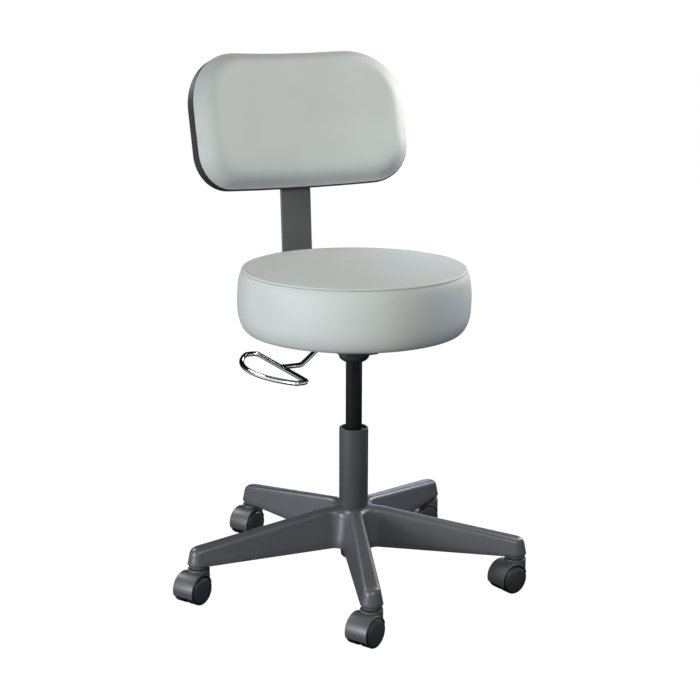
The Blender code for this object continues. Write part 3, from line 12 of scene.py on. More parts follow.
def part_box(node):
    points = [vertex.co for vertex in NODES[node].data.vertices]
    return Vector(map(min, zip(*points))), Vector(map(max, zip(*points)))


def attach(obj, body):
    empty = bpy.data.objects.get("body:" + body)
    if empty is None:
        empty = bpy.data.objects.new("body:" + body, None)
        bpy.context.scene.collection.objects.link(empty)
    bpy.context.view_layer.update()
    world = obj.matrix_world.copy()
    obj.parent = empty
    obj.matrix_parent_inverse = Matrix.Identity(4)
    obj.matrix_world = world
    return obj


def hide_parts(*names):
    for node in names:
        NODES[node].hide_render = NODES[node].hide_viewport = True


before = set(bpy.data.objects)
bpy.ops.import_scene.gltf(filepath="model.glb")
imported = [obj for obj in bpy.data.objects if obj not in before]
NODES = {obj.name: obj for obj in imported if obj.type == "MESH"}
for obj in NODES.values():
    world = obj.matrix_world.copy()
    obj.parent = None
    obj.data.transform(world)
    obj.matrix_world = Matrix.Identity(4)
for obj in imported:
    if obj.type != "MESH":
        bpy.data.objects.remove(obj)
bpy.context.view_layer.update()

CASTERS = range(1, 6)
MM = 0.001

# Seat
SEAT_LOW, SEAT_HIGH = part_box("seat_cushion")
SEAT_RADIUS = SEAT_HIGH.x
SEAT_CROWN = 6 * MM
WELT_HEIGHT = SEAT_HIGH.z - SEAT_CROWN
WELT_RADIUS = 187 * MM
# Rolled edge of the seat's top panel, in mm outward and up from the welt
WELT_ROLL = [(1.6, -2), (1.35, -1), (0.6, 0.1), (-0.8, 0.75), (-2.6, 1), (-4.4, 0.95), (-6, 0.55),
             (-7.2, 0.1)]
WELT_FOOT = [(-7.2, -2.5), (-1, -4.2), (1, -3.9)]   # its underside, sunk in the pad
WELT_STEPS = 240
WELT_SEAM = 0.75 * MM       # radius of the sewn seam below the roll
SEAM_PLACE = (WELT_RADIUS + 1.5 * MM, WELT_HEIGHT - 2.7 * MM)
SEAT_STEPS = 160
CROWN_STEPS = 35
CROWN_POWER = 2.2           # flat in the middle, steeper towards the welt
SEAT_LIP = 182 * MM
BOARD_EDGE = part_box("seat_board")[1].x
BOARD_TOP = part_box("seat_board")[1].z
SWELL_CAP = 1.2 * MM        # how far the filling may push a cover out
SWELL_PRESSURE = 4
SWELL_FRAMES = 20
EVEN_PASSES = 40            # how often a cover evens its movement out,
EVEN_KEPT = 0.4             # and the share of its own that a point keeps each time

# Backrest, drawn flat with its rear towards +Y, then bent and leaned back
BACK_WIDTH = 400 * MM
BACK_HEIGHT = 239 * MM
BACK_TOP_CORNER = 98.5 * MM
BACK_BOTTOM_CORNER = 63 * MM
BACK_CURVE = 495 * MM
BACK_RECLINE = 15.0
BACK_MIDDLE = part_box("seat_board")[0].z + 330.5 * MM
BACK_SETBACK = 237.5 * MM
BACK_SEAM = 13.5 * MM
# Section of the pad's edge from its flat face to the seam, in mm inwards and to the rear
PAD_ROLL = [(30, -20), (22, -19.1), (15.5, -16), (10.5, -10.5), (7, -4), (4, 3), (1.2, 9), (0, 11.6),
            (0.9, 13.5)]
FACE_RINGS = 12
RING_SCALES = (0, 0.2, 0.4, 0.6, 0.8, 1)    # rings that close the middle of a face
OUTLINE_STEPS = 16
PAD_CROWN = 1.5 * MM
PAD_WIDER = 0.5 * MM        # the pad overhangs its shell by this on each side,
PAD_HIGHER = 2 * MM         # and by this above,
PAD_SHORTER = 1.5 * MM      # but ends above its lower edge
PAD_FALL = 5 * MM           # the face falls back by this to its lower edge,
PAD_FALL_REACH = 52 * MM    # over this height
PAD_SAG = 1.3               # the roll is this much wider along the lower edge
BACK_DEPTH = 33 * MM
BACK_FRAME = Matrix.Translation((0, BACK_SETBACK, BACK_MIDDLE)) @ Matrix.Rotation(
    math.radians(-BACK_RECLINE), 4, "X"
)
FIT = 0.3 * MM              # between pieces that touch


# Small tools


def deselect():
    if bpy.context.mode != "OBJECT":
        bpy.ops.object.mode_set(mode="OBJECT")
    bpy.ops.object.select_all(action="DESELECT")


def pick(piece):
    """Make one object the only selected and the active one."""
    deselect()
    piece.select_set(True)
    bpy.context.view_layer.objects.active = piece
    return piece


def named(name):
    piece = bpy.context.object
    piece.name = name
    piece.data.name = name
    return piece


def close_up(piece, fill=False):
    """Merge meeting edges, fill open rims if asked, and turn all faces outwards."""
    pick(piece)
    bpy.ops.object.mode_set(mode="EDIT")
    bpy.ops.mesh.select_all(action="SELECT")
    bpy.ops.mesh.remove_doubles(threshold=0.01 * MM)
    if fill:
        bpy.ops.mesh.fill_holes(sides=0)
    bpy.ops.mesh.select_all(action="SELECT")
    bpy.ops.mesh.normals_make_consistent(inside=False)
    bpy.ops.object.mode_set(mode="OBJECT")
    return piece


def lathe(name, profile, steps):
    """A (radius, height) profile drawn point by point and spun about Z."""
    deselect()
    bpy.ops.mesh.primitive_plane_add(size=MM)
    piece = named(name)
    bpy.ops.object.mode_set(mode="EDIT")
    bpy.ops.mesh.merge(type="CENTER")
    radius, height = profile[0]
    bpy.ops.transform.translate(value=(radius, 0, height))
    for next_radius, next_height in profile[1:]:
        step = (next_radius - radius, 0, next_height - height)
        bpy.ops.mesh.extrude_vertices_move(TRANSFORM_OT_translate={"value": step})
        radius, height = next_radius, next_height
    bpy.ops.mesh.select_all(action="SELECT")
    bpy.ops.mesh.spin(steps=steps, angle=2 * math.pi, center=(0, 0, 0), axis=(0, 0, 1))
    return close_up(piece)


def drum(name, radius, low, high, steps=64):
    return lathe(name, [(0, low), (radius, low), (radius, high), (0, high)], steps)


def skin(name, columns, rows, spot, fill=False):
    """A grid laid over a form: the vertex in a column and row goes to spot(column, row)."""
    deselect()
    bpy.ops.mesh.primitive_grid_add(x_subdivisions=columns, y_subdivisions=rows, size=1)
    piece = named(name)
    width = columns + 1
    for index, vertex in enumerate(piece.data.vertices):
        vertex.co = spot(index % width, index // width)
    return close_up(piece, fill)


def box(name, low, high):
    """A cube primitive drawn out between two corners."""
    deselect()
    bpy.ops.mesh.primitive_cube_add(size=2)
    piece = named(name)
    for vertex in piece.data.vertices:
        vertex.co = [b if c > 0 else a for a, b, c in zip(low, high, vertex.co)]
    return piece


def apply_modifier(piece, kind, **settings):
    pick(piece)
    modifier = piece.modifiers.new(kind.lower(), kind)
    for name, value in settings.items():
        setattr(modifier, name, value)
    bpy.ops.object.modifier_apply(modifier=modifier.name)
    return piece


def soften(piece, width, segments, angle=40):
    """Round off all edges sharper than an angle."""
    return apply_modifier(piece, "BEVEL", width=width, segments=segments, limit_method="ANGLE",
                          angle_limit=math.radians(angle))


def merge_with(piece, tool, operation="UNION"):
    """Boolean with a tool, which is used up."""
    apply_modifier(piece, "BOOLEAN", object=tool, operation=operation, solver="EXACT")
    bpy.data.objects.remove(tool)
    return close_up(piece)


def cut(piece, tool):
    """Take a tool's form out of a piece."""
    return merge_with(piece, tool, "DIFFERENCE")


def joined(pieces):
    """Several separate pieces as one object."""
    deselect()
    for piece in pieces:
        piece.select_set(True)
    bpy.context.view_layer.objects.active = pieces[0]
    bpy.ops.object.join()
    return bpy.context.object


def moved(piece, matrix):
    piece.data.transform(matrix)
    return piece


def copy_of(piece, name, matrix):
    """A copy with its own mesh, moved to its place."""
    twin = piece.copy()
    twin.data = piece.data.copy()
    twin.name = name
    twin.data.name = name
    bpy.context.scene.collection.objects.link(twin)
    return moved(twin, matrix)


def dress(piece, finish, body, *nodes, sharp=35):
    """Finish a piece, hang it on its body, and let it stand for its CAD nodes."""
    pick(piece)
    bpy.ops.object.shade_smooth_by_angle(angle=math.radians(sharp))
    piece.data.materials.clear()
    piece.data.materials.append(finish)
    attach(piece, body)
    if nodes:
        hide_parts(*nodes)
    return piece


def curve_through(points, parts):
    """A smooth run through a few chosen points (Catmull-Rom)."""
    run = []
    last = len(points) - 1
    for index in range(last):
        a, b, c, d = (Vector(points[min(max(index + k, 0), last)]) for k in (-1, 0, 1, 2))
        for step in range(parts):
            t = step / parts
            run.append(0.5 * (2 * b + (c - a) * t + (2 * a - 5 * b + 4 * c - d) * t ** 2
                              + (3 * b - a - 3 * c + d) * t ** 3))
    run.append(Vector(points[-1]))
    return run


def arc(centre, radius, start, end, steps):
    """Points of an arc in a plane, angles in degrees."""
    turns = (math.radians(start + (end - start) * step / steps) for step in range(steps + 1))
    return [(centre[0] + radius * math.cos(turn), centre[1] + radius * math.sin(turn)) for turn in turns]


def rounded(corners, steps):
    """A run through (point, radius) corners with each corner turned to an arc."""
    points = [Vector(point) for point, radius in corners]
    run = []
    for index, (point, radius) in enumerate(corners):
        if not radius:
            run.append(points[index])
            continue
        before = (points[index - 1] - points[index]).normalized()
        after = (points[(index + 1) % len(points)] - points[index]).normalized()
        half = before.angle(after) / 2
        reach = radius / math.tan(half)
        middle = points[index] + (before + after).normalized() * radius / math.sin(half)
        first = points[index] + before * reach - middle
        last = points[index] + after * reach - middle
        spread = first.angle(last)
        for step in range(steps + 1):
            t = step / steps
            part = (math.sin((1 - t) * spread) * first + math.sin(t * spread) * last) / math.sin(spread)
            run.append(middle + part)
    return run


# Materials


def colour(code):
    """Linear RGBA of an sRGB hex colour."""
    channels = [int(code[i:i + 2], 16) / 255 for i in (0, 2, 4)]
    return tuple(c / 12.92 if c <= 0.04045 else ((c + 0.055) / 1.055) ** 2.4 for c in channels) + (1,)


def add(tree, kind, inputs=None, **settings):
    """One shader node with its settings, and with a value or a link for each named input."""
    node = tree.nodes.new("ShaderNode" + kind)
    for name, value in settings.items():
        setattr(node, name, value)
    for name, value in (inputs or {}).items():
        if isinstance(value, bpy.types.NodeSocket):
            tree.links.new(value, node.inputs[name])
        else:
            node.inputs[name].default_value = value
    return node


def blank(name, **constants):
    """A Principled material with its constant values, its shader and the piece's own coordinates."""
    made = bpy.data.materials.new(name)
    made.use_nodes = True
    tree = made.node_tree
    shader = tree.nodes["Principled BSDF"]
    for socket, value in constants.items():
        shader.inputs[socket.replace("_", " ")].default_value = value
    return made, tree, shader, add(tree, "TexCoord").outputs["Object"]


def tint(tree, shader, factor, dark, light):
    """Base colour between two hex colours."""
    mix = add(tree, "Mix", {0: factor, 6: colour(dark), 7: colour(light)}, data_type="RGBA")
    tree.links.new(mix.outputs[2], shader.inputs["Base Color"])


def surface(tree, shader, spread, rough, height=None, strength=0.0, depth=0.0, reach=(0.3, 0.7)):
    """Roughness that follows a texture between two values, and a relief where it has a strength."""
    gloss = add(tree, "MapRange", {"Value": spread, "From Min": reach[0], "From Max": reach[1],
                                   "To Min": rough[0], "To Max": rough[1]})
    tree.links.new(gloss.outputs[0], shader.inputs["Roughness"])
    if strength:
        bump = add(tree, "Bump", {"Height": height, "Strength": strength, "Distance": depth})
        tree.links.new(bump.outputs["Normal"], shader.inputs["Normal"])


def upholstery_vinyl(name, dark, light):
    """PVC-coated cloth embossed with a leather grain: a soft satin gloss broken into fine pebbles.

    Real pebbles are about 1.2 mm; they are drawn at 2 mm so that they still show in the picture.
    """
    made, tree, shader, where = blank(name, IOR=1.5, Specular_IOR_Level=0.35, Sheen_Weight=0.1,
                                      Sheen_Roughness=0.5)
    pebble = add(tree, "TexVoronoi", {"Vector": where, "Scale": 1 / (2 * MM), "Smoothness": 0.6},
                 feature="SMOOTH_F1")
    pores = add(tree, "TexNoise", {"Vector": where, "Scale": 1 / (0.9 * MM), "Detail": 3.0})
    cloud = add(tree, "TexNoise", {"Vector": where, "Scale": 1 / (70 * MM), "Detail": 3.0})
    tint(tree, shader, cloud.outputs["Fac"], dark, light)
    height = add(tree, "Math", {0: pebble.outputs["Distance"], 1: pores.outputs["Fac"]}, operation="ADD")
    surface(tree, shader, pores.outputs["Fac"], (0.50, 0.60), height.outputs[0], 0.22, 0.25 * MM)
    return made


def moulded(name, dark, light, rough, grit, shine=0.5):
    """Injection-moulded plastic: the mould leaves a fine matt grit, and edges rub a little paler."""
    made, tree, shader, where = blank(name, IOR=1.5, Specular_IOR_Level=shine)
    pits = add(tree, "TexNoise", {"Vector": where, "Scale": 1 / grit, "Detail": 2.0})
    flow = add(tree, "TexNoise", {"Vector": where, "Scale": 1 / (45 * MM), "Detail": 4.0})
    edge = add(tree, "MapRange", {"Value": add(tree, "NewGeometry").outputs["Pointiness"],
                                  "From Min": 0.5, "From Max": 0.62, "To Min": 0.0, "To Max": 0.15})
    worn = add(tree, "Math", {0: edge.outputs[0], 1: flow.outputs["Fac"]}, operation="ADD", use_clamp=True)
    tint(tree, shader, worn.outputs[0], dark, light)
    grain = pits.outputs["Fac"]
    surface(tree, shader, grain, (rough - 0.05, rough + 0.05), grain, 0.015, 0.1 * MM)
    return made


def powder_coated(name, dark, light, rough, shine=0.5):
    """Baked powder coat on steel: an even satin film with the faint ripple of orange peel."""
    made, tree, shader, where = blank(name, IOR=1.5, Specular_IOR_Level=shine)
    peel = add(tree, "TexNoise", {"Vector": where, "Scale": 1 / (3 * MM), "Detail": 1.0})
    film = add(tree, "TexNoise", {"Vector": where, "Scale": 1 / (60 * MM), "Detail": 3.0})
    tint(tree, shader, film.outputs["Fac"], dark, light)
    ripple = peel.outputs["Fac"]
    surface(tree, shader, ripple, (rough - 0.04, rough + 0.04), ripple, 0.12, 0.15 * MM)
    return made


def plated(name, dark, light, low, high, blotch):
    """Plated steel: bright metal whose polish changes a little in soft blotches."""
    made, tree, shader, where = blank(name, Metallic=1.0)
    haze = add(tree, "TexNoise", {"Vector": where, "Scale": 1 / blotch, "Detail": 4.0})
    tint(tree, shader, haze.outputs["Fac"], dark, light)
    surface(tree, shader, haze.outputs["Fac"], (low, high))
    return made


def plywood(name, dark, light):
    """Sanded ply: long faint grain lines in the veneer, almost without gloss."""
    made, tree, shader, where = blank(name, IOR=1.45)
    along = add(tree, "Mapping", {"Vector": where, "Scale": (1, 0.06, 1)})
    grain = add(tree, "TexNoise", {"Vector": along.outputs[0], "Scale": 1 / (6 * MM), "Detail": 5.0})
    tint(tree, shader, grain.outputs["Fac"], dark, light)
    lines = grain.outputs["Fac"]
    surface(tree, shader, lines, (0.6, 0.75), lines, 0.1, 0.2 * MM, (0, 1))
    return made


VINYL = upholstery_vinyl("upholstery_vinyl", "b5bab9", "c0c5c3")
# Darker vinyl for the seam ring: painted shade of the crease under the welt's rolled edge.
SEAM_SHADE_VINYL = upholstery_vinyl("seam_painted_shade_vinyl", "858a89", "919695")
NYLON = moulded("glass_filled_nylon", "484b4e", "55585c", 0.36, 1.5 * MM, 0.5)
HOOD_PLASTIC = moulded("caster_nylon", "404347", "4e5155", 0.42, 1.2 * MM, 0.65)
WHEEL_PLASTIC = moulded("wheel_nylon", "34373c", "42454b", 0.30, 1.2 * MM, 0.5)
TREAD_PLASTIC = moulded("tread_urethane", "131416", "1e1f21", 0.5, 1.2 * MM, 0.3)
SHELL_PLASTIC = moulded("shell_abs", "27292c", "34363a", 0.50, 1.5 * MM, 0.15)
BLACK_PLASTIC = moulded("black_acetal", "17181a", "242527", 0.38, 1.2 * MM)
RUBBER = moulded("black_rubber", "1a1a1b", "262627", 0.75, 2 * MM)
COLUMN_COAT = powder_coated("column_powder_coat", "3c3f41", "434749", 0.40, 0.25)
BAR_COAT = powder_coated("bar_powder_coat", "4c4c4d", "565656", 0.48)
BLACK_COAT = powder_coated("black_enamel", "0c0d0f", "141618", 0.34, 0.12)
# The black enamel made lighter for the socket and pressings under the seat: painted light where the underside
# gets little light.
BLACK_COAT_PAINTED_LIGHT = powder_coated("black_enamel_painted_light", "303234", "3b3d40", 0.42, 0.4)
CHROME = plated("chromium_plate", "cfd3d8", "e4e7ea", 0.04, 0.09, 25 * MM)
ZINC = plated("zinc_plate", "8f959c", "b9bdc0", 0.28, 0.42, 8 * MM)
PLYWOOD = plywood("birch_plywood", "b08d5f", "d8bb8c")
STAINED_PLYWOOD = plywood("stained_plywood", "1a1815", "2b2723")
SLOT_FINISH = {
    "birch_plywood": PLYWOOD,
    "black_acetal": BLACK_PLASTIC,
    "black_rubber": RUBBER,
    "black_shell_plastic": SHELL_PLASTIC,
    "blackened_steel": BLACK_COAT,
    "chromed_wire": CHROME,
    "glass_filled_nylon": NYLON,
    "grey_coated_bar": BAR_COAT,
    "grey_vinyl": VINYL,
    "moulded_caster_plastic": HOOD_PLASTIC,
    "powder_coated_steel": COLUMN_COAT,
    "wheel_plastic": WHEEL_PLASTIC,
    "zinc_plated_steel": ZINC,
}


def finish_cad_nodes():
    """The nodes that stay as they are get the finish of their slot."""
    for node in NODES.values():
        slot = node.data.materials[0].name.split(".")[0]
        node.data.materials.clear()
        node.data.materials.append(SLOT_FINISH[slot])
    board = NODES["seat_board"].data.materials
    board.clear()
    board.append(STAINED_PLYWOOD)


# Pads


def blow_up(pad, held):
    """Inflate a pad as cloth. Held points stay sewn down, no point moves further than the cap, and the
    stretched cover evens its movement out between neighbours."""
    count = len(pad.data.vertices)
    rest = np.array([vertex.co for vertex in pad.data.vertices])
    out = np.array([vertex.normal for vertex in pad.data.vertices])
    free = np.array([not held(vertex.co) for vertex in pad.data.vertices])
    group = pad.vertex_groups.new(name="sewn")
    group.add(np.flatnonzero(~free).tolist(), 1.0, "REPLACE")
    pick(pad)
    cloth = pad.modifiers.new("Cloth", "CLOTH")
    cloth.settings.vertex_group_mass = "sewn"
    cloth.settings.use_pressure = True
    cloth.settings.uniform_pressure_force = SWELL_PRESSURE
    cloth.settings.effector_weights.gravity = 0
    for number in range(1, SWELL_FRAMES + 1):
        bpy.context.scene.frame_set(number)
    bpy.ops.object.modifier_apply(modifier="Cloth")
    bpy.context.scene.frame_set(1)
    shift = np.array([vertex.co for vertex in pad.data.vertices]) - rest
    lift = np.clip((shift * out).sum(axis=1), -SWELL_CAP, SWELL_CAP) * free
    one, other = np.array([edge.vertices for edge in pad.data.edges]).T
    near = np.bincount(one, minlength=count) + np.bincount(other, minlength=count)
    for _ in range(EVEN_PASSES):
        around = np.bincount(one, lift[other], count) + np.bincount(other, lift[one], count)
        lift = (EVEN_KEPT * lift + (1 - EVEN_KEPT) * around / near) * free
    pad.data.vertices.foreach_set("co", (rest + lift[:, None] * out).ravel())
    pad.vertex_groups.clear()


def seat_side():
    """Barrel side of the seat from the welt down to the rounded lower lip."""
    swell = SEAT_RADIUS - WELT_RADIUS
    depth = WELT_HEIGHT - SEAT_LOW.z
    return curve_through([
        (WELT_RADIUS, WELT_HEIGHT),
        (SEAT_RADIUS - 0.40 * swell, WELT_HEIGHT - 0.12 * depth),
        (SEAT_RADIUS - 0.06 * swell, WELT_HEIGHT - 0.32 * depth),
        (SEAT_RADIUS, WELT_HEIGHT - 0.5 * depth),
        (SEAT_RADIUS - 0.13 * swell, SEAT_LOW.z + 0.27 * depth),
        (SEAT_RADIUS - 0.70 * swell, SEAT_LOW.z + 0.11 * depth),
        (SEAT_LIP, SEAT_LOW.z + 0.02 * depth),
        (BOARD_EDGE + 2 * FIT, SEAT_LOW.z),
    ], 4)


def make_seat():
    shares = [step / CROWN_STEPS for step in range(1, CROWN_STEPS + 1)]
    crown = [(share * WELT_RADIUS, WELT_HEIGHT + SEAT_CROWN * (1 - share ** CROWN_POWER))
             for share in shares]
    under = [(radius, BOARD_TOP + FIT) for radius in (BOARD_EDGE + 2 * FIT, 0.6 * BOARD_EDGE, 0)]
    profile = [(0, WELT_HEIGHT + SEAT_CROWN), *crown, *seat_side()[1:], *under]
    pad = lathe("seat_pad", profile, SEAT_STEPS)

    def sewn(point):
        across = math.hypot(point.x, point.y)
        at_welt = abs(across - WELT_RADIUS) < 2 * MM and abs(point.z - WELT_HEIGHT) < 2 * MM
        return at_welt or point.z < BOARD_TOP + 2 * FIT and across < SEAT_LIP + FIT

    blow_up(pad, sewn)
    apply_modifier(pad, "SUBSURF", levels=1, render_levels=1)
    dress(pad, VINYL, "seat", "seat_cushion", sharp=70)

    run = [*curve_through(WELT_ROLL, 3), *WELT_FOOT, WELT_ROLL[0]]
    ring = [(WELT_RADIUS + out * MM, WELT_HEIGHT + up * MM) for out, up in run]
    welt = lathe("seat_welt", ring, WELT_STEPS)
    dress(welt, VINYL, "seat")
    # The seam ring is coloured darker than the pad: painted shade in the crease under the roll.
    seam = lathe("seat_seam", arc(SEAM_PLACE, WELT_SEAM, 0, 360, 10), WELT_STEPS)
    dress(seam, SEAM_SHADE_VINYL, "seat")


def bent(across, depth, up):
    """Point of the hollow backrest, leaned back: depth is measured to the rear from its front edge."""
    turn = across / BACK_CURVE
    radius = BACK_CURVE + depth
    return BACK_FRAME @ Vector((radius * math.sin(turn), radius * math.cos(turn) - BACK_CURVE, up))


def back_outline(side, top, bottom):
    """Rounded outline of the backrest laid flat, drawn in on each side; the first point closes it again."""
    half = BACK_WIDTH / 2 - side
    high, low = BACK_HEIGHT / 2 - top, bottom - BACK_HEIGHT / 2
    corners = [
        (half, high, BACK_TOP_CORNER - side, 0),
        (-half, high, BACK_TOP_CORNER - side, 90),
        (-half, low, BACK_BOTTOM_CORNER - side, 180),
        (half, low, BACK_BOTTOM_CORNER - side, 270),
    ]
    bends = []
    for x, z, radius, start in corners:
        centre = (x - math.copysign(radius, x), z - math.copysign(radius, z))
        bends.append(arc(centre, radius, start, start + 90, OUTLINE_STEPS))
    outline = []
    for index, bend in enumerate(bends):
        outline.extend(bend)
        start, end = Vector(bend[-1]), Vector(bends[(index + 1) % 4][0])
        outline.extend(start.lerp(end, step / OUTLINE_STEPS) for step in range(1, OUTLINE_STEPS))
    return outline + outline[:1]


def back_form(name, levels):
    """A closed bent form through (outline, depth, scale) rings; a scale of 0 closes it in the middle."""
    rings = [[bent(scale * x, depth, scale * z) for x, z in outline] for outline, depth, scale in levels]
    return skin(name, len(rings[0]) - 1, len(rings) - 1, lambda column, row: rings[row][column])


def make_back_pad():
    """Front of the backrest: a flat middle that rolls off in one soft curve to the seam."""
    roll = []
    for inset, depth in curve_through(PAD_ROLL, 3):
        inset *= MM
        outline = back_outline(inset - PAD_WIDER, inset - PAD_HIGHER, PAD_SAG * inset + PAD_SHORTER)
        roll.append((outline, depth * MM, 1))
    face, level, _ = roll[0]
    shares = [step / FACE_RINGS for step in range(FACE_RINGS)]
    front = [(face, level - PAD_CROWN * (1 - share ** 2), share) for share in shares]
    inset = SHELL_WALL + FIT
    rear = [(back_outline(inset, inset, inset), BACK_SEAM, scale) for scale in RING_SCALES[::-1]]
    pad = back_form("back_pad", front + roll + rear)
    flat_frame = BACK_FRAME.inverted()

    def pad_depth(local):
        return math.hypot(local.x, local.y + BACK_CURVE) - BACK_CURVE

    def sewn(point):
        return pad_depth(flat_frame @ point) > BACK_SEAM - FIT

    for vertex in pad.data.vertices:
        local = flat_frame @ vertex.co
        low = max(0, 1 - (local.z + BACK_HEIGHT / 2) / PAD_FALL_REACH)
        share = max(0, (BACK_SEAM - pad_depth(local)) / (BACK_SEAM - level))
        local.y += PAD_FALL * low ** 2 * share
        vertex.co = BACK_FRAME @ local

    blow_up(pad, sewn)
    apply_modifier(pad, "SUBSURF", levels=1, render_levels=1)
    dress(pad, VINYL, "back", "back_cushion", sharp=70)


# Backrest shell and its knob


SHELL_WALL = 3 * MM
SHELL_LEDGE = 7 * MM
SHELL_TUCK = 4 * MM
SHELL_FLOOR = 2.8 * MM
BOARD = 11 * MM
BAR_WIDTH = 58 * MM
BAR_THICKNESS = 6 * MM
BAR_ENGAGE = 110 * MM
BAR_DEPTH = BACK_DEPTH + 2 * FIT + BAR_THICKNESS / 2
SPINE_WALL = 3.5 * MM
SPINE_DEPTH = BAR_DEPTH + BAR_THICKNESS / 2 + FIT + SPINE_WALL
SPINE_TOP = -BACK_HEIGHT / 2 + BAR_ENGAGE + 12 * MM
SPINE_BOTTOM = -BACK_HEIGHT / 2 + 8 * MM
STUD = 4 * MM
KNOB_RISE = 34 * MM
SCREW_PLACES = [(x * MM, z * MM) for x in (-75, 75) for z in (60, -40)]
SCREW_HEAD = 6.5 * MM
SCREW_RADIUS = 3 * MM


def make_back_shell():
    front = BACK_SEAM + FIT
    ledge = front + BOARD + FIT
    floor = BACK_DEPTH - SHELL_FLOOR
    inner = SHELL_WALL + SHELL_LEDGE
    rim = curve_through([
        (0.25 * SHELL_TUCK, front),
        (0, front + 0.3 * SHELL_TUCK),
        (0.15 * SHELL_TUCK, BACK_DEPTH - 2 * SHELL_TUCK),
        (0.5 * SHELL_TUCK, BACK_DEPTH - SHELL_TUCK),
        (SHELL_TUCK, BACK_DEPTH - 0.35 * SHELL_TUCK),
        (2 * SHELL_TUCK, BACK_DEPTH),
    ], 3)
    levels = [
        *[(inner, floor, scale) for scale in RING_SCALES],
        (inner, ledge, 1),
        (SHELL_WALL, ledge, 1),
        (SHELL_WALL, front, 1),
        *[(inset, depth, 1) for inset, depth in rim],
        *[(2 * SHELL_TUCK, BACK_DEPTH, scale) for scale in RING_SCALES[-2::-1]],
    ]
    shell = back_form("back_cover", [(back_outline(inset, inset, inset), depth, scale)
                                     for inset, depth, scale in levels])
    half = BAR_WIDTH / 2 + FIT + SPINE_WALL
    spine = box("spine", (-half, floor + SHELL_FLOOR / 2, SPINE_BOTTOM), (half, SPINE_DEPTH, SPINE_TOP))
    soften(spine, 2.5 * MM, 4)
    merge_with(shell, moved(spine, BACK_FRAME))
    room = BAR_WIDTH / 2 + FIT
    slot = box("slot", (-room, BACK_DEPTH + FIT, -BACK_HEIGHT),
               (room, SPINE_DEPTH - SPINE_WALL, -BACK_HEIGHT / 2 + BAR_ENGAGE + FIT))
    cut(shell, moved(slot, BACK_FRAME))
    bore = drum("bore", STUD + FIT, BAR_DEPTH, 2 * SPINE_DEPTH, 32)
    rearwards = Matrix.Rotation(math.radians(-90), 4, "X")
    knob_place = BACK_FRAME @ Matrix.Translation((0, 0, KNOB_RISE - BACK_HEIGHT / 2)) @ rearwards
    cut(shell, moved(bore, knob_place))
    for across, up in SCREW_PLACES:
        hole = drum("hole", SCREW_RADIUS + FIT, -BACK_DEPTH / 2, SHELL_FLOOR, 24)
        cut(shell, moved(hole, screw_frame(across, up)))
    dress(shell, SHELL_PLASTIC, "back", "back_shell", sharp=32)


def screw_frame(across, up):
    """Frame on the back of the shell whose Z axis points to the rear, square to the bend."""
    turn = Matrix.Rotation(-across / BACK_CURVE, 4, "Z") @ Matrix.Rotation(math.radians(-90), 4, "X")
    return Matrix.Translation(bent(across, BACK_DEPTH, up)) @ BACK_FRAME.to_3x3().to_4x4() @ turn


def make_back_screws():
    """Pan-head screws with a cross recess."""
    head = 3.5 * MM
    end = BACK_SEAM + 2 * FIT + BOARD / 3 - BACK_DEPTH
    profile = [
        (0, FIT + head),
        *arc((0.45 * SCREW_HEAD, FIT + 0.35 * head), 0.62 * head, 90, 0, 6),
        (SCREW_HEAD, FIT + 0.3 * head),
        (SCREW_HEAD, FIT),
        (SCREW_RADIUS, FIT),
        (SCREW_RADIUS, end),
        (0, end),
    ]
    screw = lathe("screw", profile, 32)
    wide, thin = 0.5 * SCREW_HEAD, 0.6 * MM
    for x, y in ((wide, thin), (thin, wide)):
        cut(screw, box("cross", (-x, -y, 0.45 * head), (x, y, 2 * head)))
    for number, (across, up) in enumerate(SCREW_PLACES, 1):
        piece = copy_of(screw, f"cover_screw_{number}", screw_frame(across, up))
        dress(piece, ZINC, "back", f"back_screw_{number}")
    bpy.data.objects.remove(screw)


# Gas column and its socket


COLUMN_LOW, COLUMN_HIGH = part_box("column_tube")
COLUMN_RADIUS = COLUMN_HIGH.x
HUB_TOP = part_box("base_star")[1].z
COLUMN_WALL = 2 * MM
COLUMN_TAPER = math.tan(math.radians(1.9))
RIM_ROUND = 2 * MM
RIM_TURN = 2.2 * MM         # how far the rolled rim reaches in past the bore
CYLINDER_LOW, CYLINDER_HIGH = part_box("gas_cylinder")
CYLINDER_RADIUS = CYLINDER_HIGH.x
CYLINDER_WALL = 1.8 * MM
CYLINDER_TAPER = math.tan(math.radians(1.4))
SOCKET_LOW, SOCKET_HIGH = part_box("taper_socket")


def make_column():
    """Tube with a rolled rim above and a tapered, chamfered foot inside the hub."""
    top, low = COLUMN_HIGH.z, COLUMN_LOW.z
    chamfer = 3.5 * MM
    floor = 4 * MM
    bore = COLUMN_RADIUS - COLUMN_WALL
    mouth = bore - RIM_TURN
    foot = COLUMN_RADIUS - (HUB_TOP - low - chamfer) * COLUMN_TAPER
    neck = 4.3 * MM
    profile = [
        (mouth, top),
        *arc((COLUMN_RADIUS - RIM_ROUND, top - RIM_ROUND), RIM_ROUND, 90, 0, 8),
        (COLUMN_RADIUS, HUB_TOP),
        (foot, low + chamfer),
        (foot - chamfer, low),
        (neck, low),
        (neck, low + floor),
        (foot - chamfer - COLUMN_WALL, low + floor),
        (bore - 2 * COLUMN_WALL, (low + HUB_TOP) / 2 - floor),
        (bore, HUB_TOP),
        (bore, top - RIM_ROUND),
        (mouth, top - RIM_ROUND),
        (mouth, top),
    ]
    tube = soften(lathe("column", profile, 96), 0.5 * MM, 2)
    dress(tube, COLUMN_COAT, "base", "column_tube")


